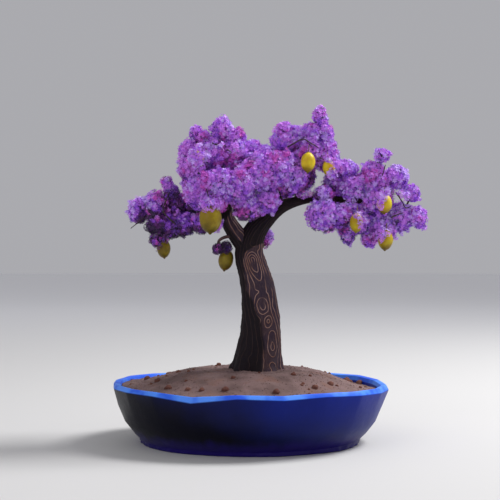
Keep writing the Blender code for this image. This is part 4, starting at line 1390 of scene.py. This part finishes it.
def tint_of(place, facing, depth, dice):
    """The name of an umbel's tint. Tints lie in patches, and painted shade makes them cooler below and deeper
    where an umbel sits low or in one of the crown's shady spots.
    """
    warm = relief(place, WARM_PATCHES) + dice.uniform(-WARM_CHANCE, WARM_CHANCE)
    warm += WARM_MEAN - WARM_FALL * place.x
    shade = SHADE_MEAN - SHADE_BELOW * facing.z + dice.uniform(-SHADE_CHANCE, SHADE_CHANCE)
    shade += SHADE_SUNK if depth > DOME_RADIUS else SHADE_OUT
    for x, y, z, reach, gloom in SHADY:
        away = (place - Vector((x, y, z)) * MM).length / (reach * MM)
        shade += gloom * (1 - step_between(away, SHADY_CORE, 1.0))
    tints = next(tints for least, tints in TINT_STEPS if shade > least)
    return next(tint for least, tint in tints if warm > least)


def grow_florets(umbels):
    """Every floret, as its place, the way that it faces, its spin, its size and its tint."""
    dice = random.Random(SEED + 2)
    lemons = every_fruit()
    florets = []
    for mass, number, place, facing, tint in umbels:
        own = lobes_of(mass)
        fit = min(1.0, DOME_LEAST + min(own[number][1]) / DOME_LOBE)
        dome = DOME_RADIUS * dice.uniform(*DOME_SPREAD) * fit
        grown = grow_dome(place, facing, dome, tint, own, lemons, dice)
        if dice.random() < SPRIG_SHARE:
            grown += grow_sprig(place, facing, dome, tint, lemons, dice)
        hung = nearness(place, own)
        reach = hung + VEIL_REACH if hung > 1 else REACH + relief(place, REACH_VARIES)
        florets += [floret for floret in grown if nearness(floret[0], own) < reach]
    return florets + fill_creases(umbels, dice) + fill_hearts(lemons, dice)


def grow_dome(place, facing, dome, tint, own, lemons, dice):
    """The florets of one umbel, on a dome of this radius."""
    count = round(FLORETS * (dome / DOME_RADIUS) ** 2 * dice.uniform(*FLORETS_SPREAD))
    across = facing.orthogonal().normalized()
    over = facing.cross(across)
    start = dice.uniform(0, math.tau)
    florets = []
    for k in range(count):
        level = 1 - DOME_DEPTH * (k + 0.5) / count
        out = facing * level + round_about(across, over, start + k * GOLDEN) * math.sqrt(1 - level * level)
        far = dice.uniform(*DOME_REACH) + (STRAY_REACH if dice.random() < STRAY else 0)
        spot = place + out * dome * far
        if nearness(spot, own) >= BURIED and not in_any(spot, lemons):
            florets.append(new_floret(spot, out, DOME_TILT, tint, dice))
    return florets


def new_floret(spot, out, tilt, tint, dice):
    """A floret that faces roughly outwards, in its umbel's tint or in one that lies next to it."""
    facing = (out + random_offset(dice, tilt)).normalized()
    size = FLORET_RADIUS * dice.uniform(*FLORET_SPREAD)
    if dice.random() < MIXED:
        tint = dice.choice(NEXT_TINTS[tint])
    return (spot, facing, dice.uniform(0, math.tau), size, tint)


def grow_sprig(place, facing, dome, tint, lemons, dice):
    """A short spike of florets that stands out of a dome."""
    lean = random_offset(dice, SPRIG_LEAN) + SPRIG_LIFT
    along = (facing + lean).normalized()
    across = along.orthogonal().normalized()
    over = along.cross(across)
    florets = []
    tint = PALER.get(tint, tint) if dice.random() < PALE_SPRIGS else tint
    for k in range(SPRIG_FLORETS):
        share = (k + 0.5) / SPRIG_FLORETS
        side = round_about(across, over, k * GOLDEN) * (1 - SPRIG_TAPER * share)
        spot = place + along * (dome * SPRIG_FOOT + SPRIG_LENGTH * share) + side * FLORET_RADIUS * SPRIG_WIDTH
        if not in_any(spot, lemons):
            florets.append(new_floret(spot, side + along * SPRIG_RISE, SPRIG_TILT, tint, dice))
    return florets


def fill_creases(umbels, dice):
    """Florets on the surface of the lobes, between the domes, each in the tint of the nearest umbel."""
    florets = []
    others, limbs = surroundings()
    for name in CROWN:
        own = lobes_of(name)
        grown = [(place, tint) for mass, _, place, _, tint in umbels if mass == name]
        lemons = fruit_of(name)
        for number, (centre, radii) in enumerate(own):
            for _ in range(round(lobe_area(radii) / CREASE_AREA)):
                out = random_way(dice)
                spot = centre + stretched(out, radii) * dice.uniform(*CREASE_SHARE)
                if not has_room(spot, own, number, others[name]):
                    continue
                if limb_gap(spot, limbs) < FLORET_RADIUS or in_any(spot, lemons):
                    continue
                tint = min(grown, key=lambda umbel: (umbel[0] - spot).length_squared)[1]
                florets.append(new_floret(spot, out, CREASE_TILT, tint, dice))
    return florets


def fill_hearts(lemons, dice):
    """Dark florets deep inside the lobes, as painted shade."""
    florets = []
    for centre, radii in (lobe for name in CROWN for lobe in lobes_of(name)):
        for _ in range(round(lobe_area(radii) / DEEP_AREA)):
            out = random_way(dice)
            spot = centre + stretched(out, radii) * dice.uniform(*DEEP_SHARE)
            if not in_any(spot, lemons):
                size = FLORET_RADIUS * dice.uniform(*DEEP_SPREAD)
                florets.append((spot, out, dice.uniform(0, math.tau), size, dice.choice(DEEP_TINTS)))
    return florets


def in_any(place, lemons):
    """Whether a place is inside one of these lemons, or so near that a floret there would touch it."""
    for centre, length, radius in lemons:
        off = place - centre
        if math.hypot(off.x / radius, off.y / radius, off.z / (length / 2)) < LEMON_ROOM:
            return True
    return False


def floret_shape():
    """A cupped floret of radius 1 with five petals of two triangles each."""
    points, faces = [Vector((0, 0, 0))], []
    for petal in range(PETALS):
        angle = petal * math.tau / PETALS
        first = len(points)
        for turn, reach, rise in PETAL_CORNERS:
            points.append(Vector((math.cos(angle + turn) * reach, math.sin(angle + turn) * reach, rise)))
        faces += [(0, first, first + 1), (0, first + 1, first + 2)]
    return new_piece("floret", points, faces)


def build_blossom(looks, umbels):
    """A piece of florets for each tint, placed by Geometry Nodes on the points of one cloud."""
    spots, facings, spins, sizes, tints = zip(*grow_florets(umbels))
    cloud = new_piece("cloud", spots, [], attributes={"spin": spins, "size": sizes})
    marks = cloud.data.attributes
    ways = [value for facing in facings for value in facing]
    marks.new("facing", "FLOAT_VECTOR", "POINT").data.foreach_set("vector", ways)
    marks.new("tint", "INT", "POINT").data.foreach_set("value", [TINTS.index(tint) for tint in tints])
    shape = floret_shape()
    for tint in TINTS:
        piece = strew_tint(tint, cloud, shape, looks)
        keep(piece, [f"mass_{name}" for name in CROWN])
    discard(cloud)
    discard(shape)


def strew_tint(tint, cloud, shape, looks):
    """The florets of one tint, as one piece."""
    nodes = Repeat(f"florets_{tint}")
    wanted = nodes.wish("Tint", "NodeSocketInt", TINTS.index(tint))
    source = nodes.wish("Floret", "NodeSocketObject", shape)
    swell = nodes.wish("Swell", "NodeSocketFloat", looks.swell)
    settings = {"data_type": "INT", "operation": "EQUAL"}
    chosen = nodes.node("FunctionNodeCompare", settings, {2: nodes.attribute("tint", "INT"), 3: wanted})
    spin = nodes.node("ShaderNodeCombineXYZ", values={"Z": nodes.attribute("spin", "FLOAT")})
    turned = nodes.node("FunctionNodeEulerToRotation", values={0: spin})
    values = {"Rotation": turned, "Vector": nodes.attribute("facing", "FLOAT_VECTOR")}
    rotation = nodes.node("FunctionNodeAlignRotationToVector", {"axis": "Z"}, values)
    points = nodes.node("GeometryNodeMeshToPoints", values={"Mesh": nodes.base, "Selection": chosen})
    size = nodes.attribute("size", "FLOAT") * swell
    placed = nodes.instances(points, source, rotation, size)
    return nodes.grow(placed, petal_tint(tint, getattr(looks, tint)), cloud, f"blossom_{tint}")


def petal_tint(tint, colour):
    """Thin petals in one plain tint."""
    constants = {"Roughness": 0.6, "Sheen Weight": 0.15, "Base Color": colour}
    return Finish(f"petal_{tint}", constants).material


# ---------------------------------------------------------------- stage


def build_stage(looks):
    """A pale floor that reaches the horizon, two soft lights, a pale sky and the camera."""
    disc = bmesh.new()
    bmesh.ops.create_circle(disc, cap_ends=True, segments=FLOOR_SIDES, radius=looks.floor)
    stage = from_bmesh("floor", disc)
    stage.data.materials.append(floor_paint(looks))
    stage.location.z = FLOOR_Z
    add_light("key", looks.key_place, looks.key_size, looks.key_power)
    add_light("fill", looks.fill_place, looks.fill_size, looks.fill_power)
    world = bpy.data.worlds.new("sky")
    world.use_nodes = True
    sky = world.node_tree.nodes["Background"]
    sky.inputs["Color"].default_value = (*looks.sky, 1.0)
    sky.inputs["Strength"].default_value = looks.sky_power
    bpy.context.scene.world = world
    camera = bpy.data.cameras.new("camera")
    camera.lens = CAMERA_LENS
    seat = link(bpy.data.objects.new("camera", camera))
    seat.location = CAMERA_PLACE
    seat.rotation_euler = (math.radians(90), 0, 0)
    bpy.context.scene.camera = seat
    bpy.context.scene.view_settings.view_transform = "Standard"


def floor_paint(looks):
    """A pale floor with faint clouds, paler where the lights don't reach."""
    made = Finish("floor", {"Roughness": 0.7})
    far = made.node("ShaderNodeVectorMath", {"operation": "LENGTH"}, {0: made.place()}, output=1)
    colour = made.mix(made.noise(0.4, 2) * 0.08, looks.pale, FLOOR_CLOUDS)
    made.drive({"Base Color": made.mix(far.between(*FLOOR_FADES), colour, looks.far)})
    return made.material


def add_light(name, place, size, power):
    """A square soft light that points at the middle of the tree."""
    lamp = bpy.data.lights.new(name, "AREA")
    lamp.size, lamp.energy = size, power
    seat = link(bpy.data.objects.new(name, lamp))
    seat.location = place
    seat.rotation_euler = (LIGHT_AIM - Vector(place)).to_track_quat("-Z", "Y").to_euler()


# ---------------------------------------------------------------- settings


def colour(name, description, red, green, blue):
    """A colour setting whose default is given in sRGB bytes."""
    settings = {"subtype": "COLOR", "size": 3, "min": 0.0, "max": 1.0, "default": paint(red, green, blue)}
    return FloatVectorProperty(name=name, description=description, **settings)


def length(name, description, default):
    return FloatProperty(name=name, description=description, default=default, unit="LENGTH", min=0.0)


def amount(name, description, default, least=0.0, most=1000.0):
    return FloatProperty(name=name, description=description, default=default, min=least, max=most)


def whole_number(name, description, default, least):
    return IntProperty(name=name, description=description, default=default, min=least)


def position(name, description, default):
    return FloatVectorProperty(name=name, description=description, default=default, subtype="XYZ")


class BonsaiPot(PropertyGroup):
    body: colour("Body", "Glaze on the side that catches the light", 6, 36, 150)
    # Painted shade: the black of the glaze's dark side, which is also the colour of its dark specks.
    shadow: colour("Shadow", "Glaze where it pooled nearly black", 3, 3, 20)
    streak: colour("Streak", "Runs in the glaze", 24, 42, 150)
    foot: colour("Foot", "Violet glaze round the foot", 32, 18, 104)
    # Painted light: the pale glaze on the rim's top.
    lip: colour("Lip", "Pale glaze on the lip", 84, 146, 255)
    lip_deep: colour("Deep lip", "The deeper blue of the lip", 44, 96, 232)
    edge: length("Edge", "How much the edges between facets are rounded", 1.4 * MM)
    unevenness: length("Unevenness", "How far the wall wanders from its facets", 0.3 * MM)


class BonsaiSoil(PropertyGroup):
    dark: colour("Dark", "Damp soil", 96, 74, 71)
    pale: colour("Pale", "Dry dust", 126, 101, 98)
    red: colour("Rust", "Rusty patches", 126, 84, 66)
    pebble: colour("Pebble", "Fired clay pebbles", 112, 70, 58)
    clay: colour("Clay", "The darker side of the pebbles", 92, 52, 42)
    crumbs: whole_number("Crumbs", "How many crumbs lie on the soil", 2000, 0)
    pebbles: whole_number("Pebbles", "How many pebbles lie on the soil", 60, 0)
    sides: whole_number("Sides", "Points round each ring of soil", 200, 20)
    rings: whole_number("Rings", "Rings from the middle to the wall", 90, 8)


class BonsaiWood(PropertyGroup):
    bark: colour("Bark", "The bark's ground colour", 54, 42, 56)
    bark_warm: colour("Warm bark", "Browner patches", 68, 50, 54)
    bark_pale: colour("Fibres", "Dry fibres", 104, 84, 84)
    # Painted shadow on the trunk's dark side and on the boughs.
    painted_shadow: colour("Charred", "Bark on the dark side", 13, 9, 13)
    line: colour("Growth line", "The carved lines", 170, 136, 124)
    line_warm: colour("Warm line", "Browner stretches of the lines", 150, 108, 90)
    twig: colour("Twig", "Thin twigs", 40, 24, 32)
    line_width: amount("Line width", "Half a line's width, in mm", 0.68, 0.1)
    # The share of painted shadow on the boughs.
    bough_dusk: amount("Bough dusk", "How dark boughs are", 0.6, 0.0, 1.0)
    twig_sides: whole_number("Twig sides", "Sides of a twig's tube", 5, 3)


class BonsaiFruit(PropertyGroup):
    lemon: colour("Rind", "Lemon rind", 196, 164, 6)
    lemon_ripe: colour("Ripe rind", "Riper patches", 224, 202, 38)
    # Also the dark green of the painted shade on lemons that hang low on the left and on their lower tips.
    lemon_green: colour("Green rind", "Unripe patches", 60, 50, 4)
    calyx: colour("Calyx", "The star that holds the lemon", 150, 124, 76)


class BonsaiBlossom(PropertyGroup):
    lavender: colour("Lavender", "Cool upper umbels", 212, 174, 255)
    mauve: colour("Mauve", "Cooler umbels", 206, 124, 246)
    orchid: colour("Orchid", "Warmer umbels", 216, 130, 246)
    pink: colour("Pink", "Warm umbels", 206, 82, 202)
    # Violet, dusk, plum and deep are painted shade: they go to umbels that face down, sit deep or lie in the
    # crown's shady spots, and plum and deep also to the florets deep inside the masses.
    violet: colour("Violet", "Lower umbels", 158, 82, 228)
    dusk: colour("Dusk", "Umbels on the dark underside", 96, 48, 156)
    plum: colour("Plum", "Umbels in the dark", 98, 36, 116)
    deep: colour("Deep", "Florets inside a mass", 56, 24, 78)
    swell: amount("Swell", "Scale of every floret", 1.0, 0.1, 2.0)


class BonsaiStage(PropertyGroup):
    pale: colour("Floor", "The floor", 206, 205, 204)
    far: colour("Far floor", "The floor where the lights don't reach", 248, 248, 250)
    sky: colour("Sky", "The light from all round", 232, 232, 238)
    sky_power: amount("Sky power", "Strength of the sky", 0.5)
    floor: length("Floor radius", "How far the floor reaches", 12.0)
    key_place: position("Key place", "Where the main light stands", (1.5, 0.5, 2.1))
    key_size: length("Key size", "Side of the main light", 1.0)
    key_power: amount("Key power", "Watts of the main light", 75)
    fill_place: position("Fill place", "Where the second light stands", (-1.4, -2.2, 1.5))
    fill_size: length("Fill size", "Side of the second light", 2.0)
    fill_power: amount("Fill power", "Watts of the second light", 18)


# ---------------------------------------------------------------- operators, panel and main


class BONSAI_OT_stage(Operator):
    """Lays the floor and places the lights and the camera"""

    bl_idname = "bonsai.stage"
    bl_label = "Stage"

    def execute(self, context):
        build_stage(context.scene.bonsai_stage)
        return {"FINISHED"}


class BONSAI_OT_pot(Operator):
    """Makes the glazed pot"""

    bl_idname = "bonsai.pot"
    bl_label = "Pot"

    def execute(self, context):
        build_pot(context.scene.bonsai_pot)
        return {"FINISHED"}


class BONSAI_OT_soil(Operator):
    """Heaps the soil and strews crumbs and pebbles on it"""

    bl_idname = "bonsai.soil"
    bl_label = "Soil"

    def execute(self, context):
        build_soil(context.scene.bonsai_soil)
        return {"FINISHED"}


class BONSAI_OT_trunk(Operator):
    """Carves the bark of the trunk and of both limbs"""

    bl_idname = "bonsai.trunk"
    bl_label = "Trunk and limbs"

    def execute(self, context):
        looks = context.scene.bonsai_wood
        rows = limb_rows()
        trunk = (rows["right_end"], *TRUNK_GRAIN, TRUNK_KNOTS, TRUNK_AXIS)
        nodes = ["trunk", "right_limb_lower", "right_limb_upper"]
        build_bark("trunk_bark", [trunk], looks, nodes, TRUNK_DUSK)
        limb = (rows["upper_left"], *LEFT_GRAIN, LEFT_KNOTS, LEFT_AXIS)
        build_bark("left_limb_bark", [limb], looks, ["left_limb"], LEFT_DUSK)
        return {"FINISHED"}


class BONSAI_OT_boughs(Operator):
    """Grows the bark of the boughs that lead to the masses"""

    bl_idname = "bonsai.boughs"
    bl_label = "Boughs"

    def execute(self, context):
        rows = limb_rows()
        names = [name for name, mass in CROWN.items() if "bough" in mass]
        skins = [(rows[name], *BOUGH_GRAIN, (), BOUGH_AXIS) for name in names]
        nodes = [name if name.startswith("twig") else f"bough_{name}" for name in names]
        build_bark("bough_bark", skins, context.scene.bonsai_wood, nodes)
        return {"FINISHED"}


class BONSAI_OT_crown(Operator):
    """Grows the twigs and the blossom"""

    bl_idname = "bonsai.crown"
    bl_label = "Twigs and blossom"

    def execute(self, context):
        umbels = grow_umbels()
        build_twigs(context.scene.bonsai_wood, umbels)
        build_blossom(context.scene.bonsai_blossom, umbels)
        return {"FINISHED"}


class BONSAI_OT_lemons(Operator):
    """Hangs the lemons"""

    bl_idname = "bonsai.lemons"
    bl_label = "Lemons"

    def execute(self, context):
        build_lemons(context.scene.bonsai_fruit)
        return {"FINISHED"}


class BONSAI_PT_panel(Panel):
    """Lists the tree's pieces"""

    bl_label = "Bonsai"
    bl_space_type = "VIEW_3D"
    bl_region_type = "UI"
    bl_category = "Bonsai"

    def draw(self, context):
        for piece in PIECES:
            self.layout.operator(piece.bl_idname)


PIECES = (
    BONSAI_OT_stage, BONSAI_OT_pot, BONSAI_OT_soil, BONSAI_OT_trunk, BONSAI_OT_boughs, BONSAI_OT_crown,
    BONSAI_OT_lemons,
)
SETTINGS = {
    "bonsai_pot": BonsaiPot,
    "bonsai_soil": BonsaiSoil,
    "bonsai_wood": BonsaiWood,
    "bonsai_fruit": BonsaiFruit,
    "bonsai_blossom": BonsaiBlossom,
    "bonsai_stage": BonsaiStage,
}


def register():
    for kind in (*SETTINGS.values(), *PIECES, BONSAI_PT_panel):
        bpy.utils.register_class(kind)
    for name, kind in SETTINGS.items():
        setattr(bpy.types.Scene, name, PointerProperty(type=kind))


def unregister():
    for name in SETTINGS:
        delattr(bpy.types.Scene, name)
    for kind in reversed((*SETTINGS.values(), *PIECES, BONSAI_PT_panel)):
        bpy.utils.unregister_class(kind)


def main():
    """Dresses the whole tree."""
    register()
    bpy.ops.bonsai.stage()
    bpy.ops.bonsai.pot()
    bpy.ops.bonsai.soil()
    bpy.ops.bonsai.trunk()
    bpy.ops.bonsai.boughs()
    bpy.ops.bonsai.crown()
    bpy.ops.bonsai.lemons()


if __name__ == "__main__":
    main()
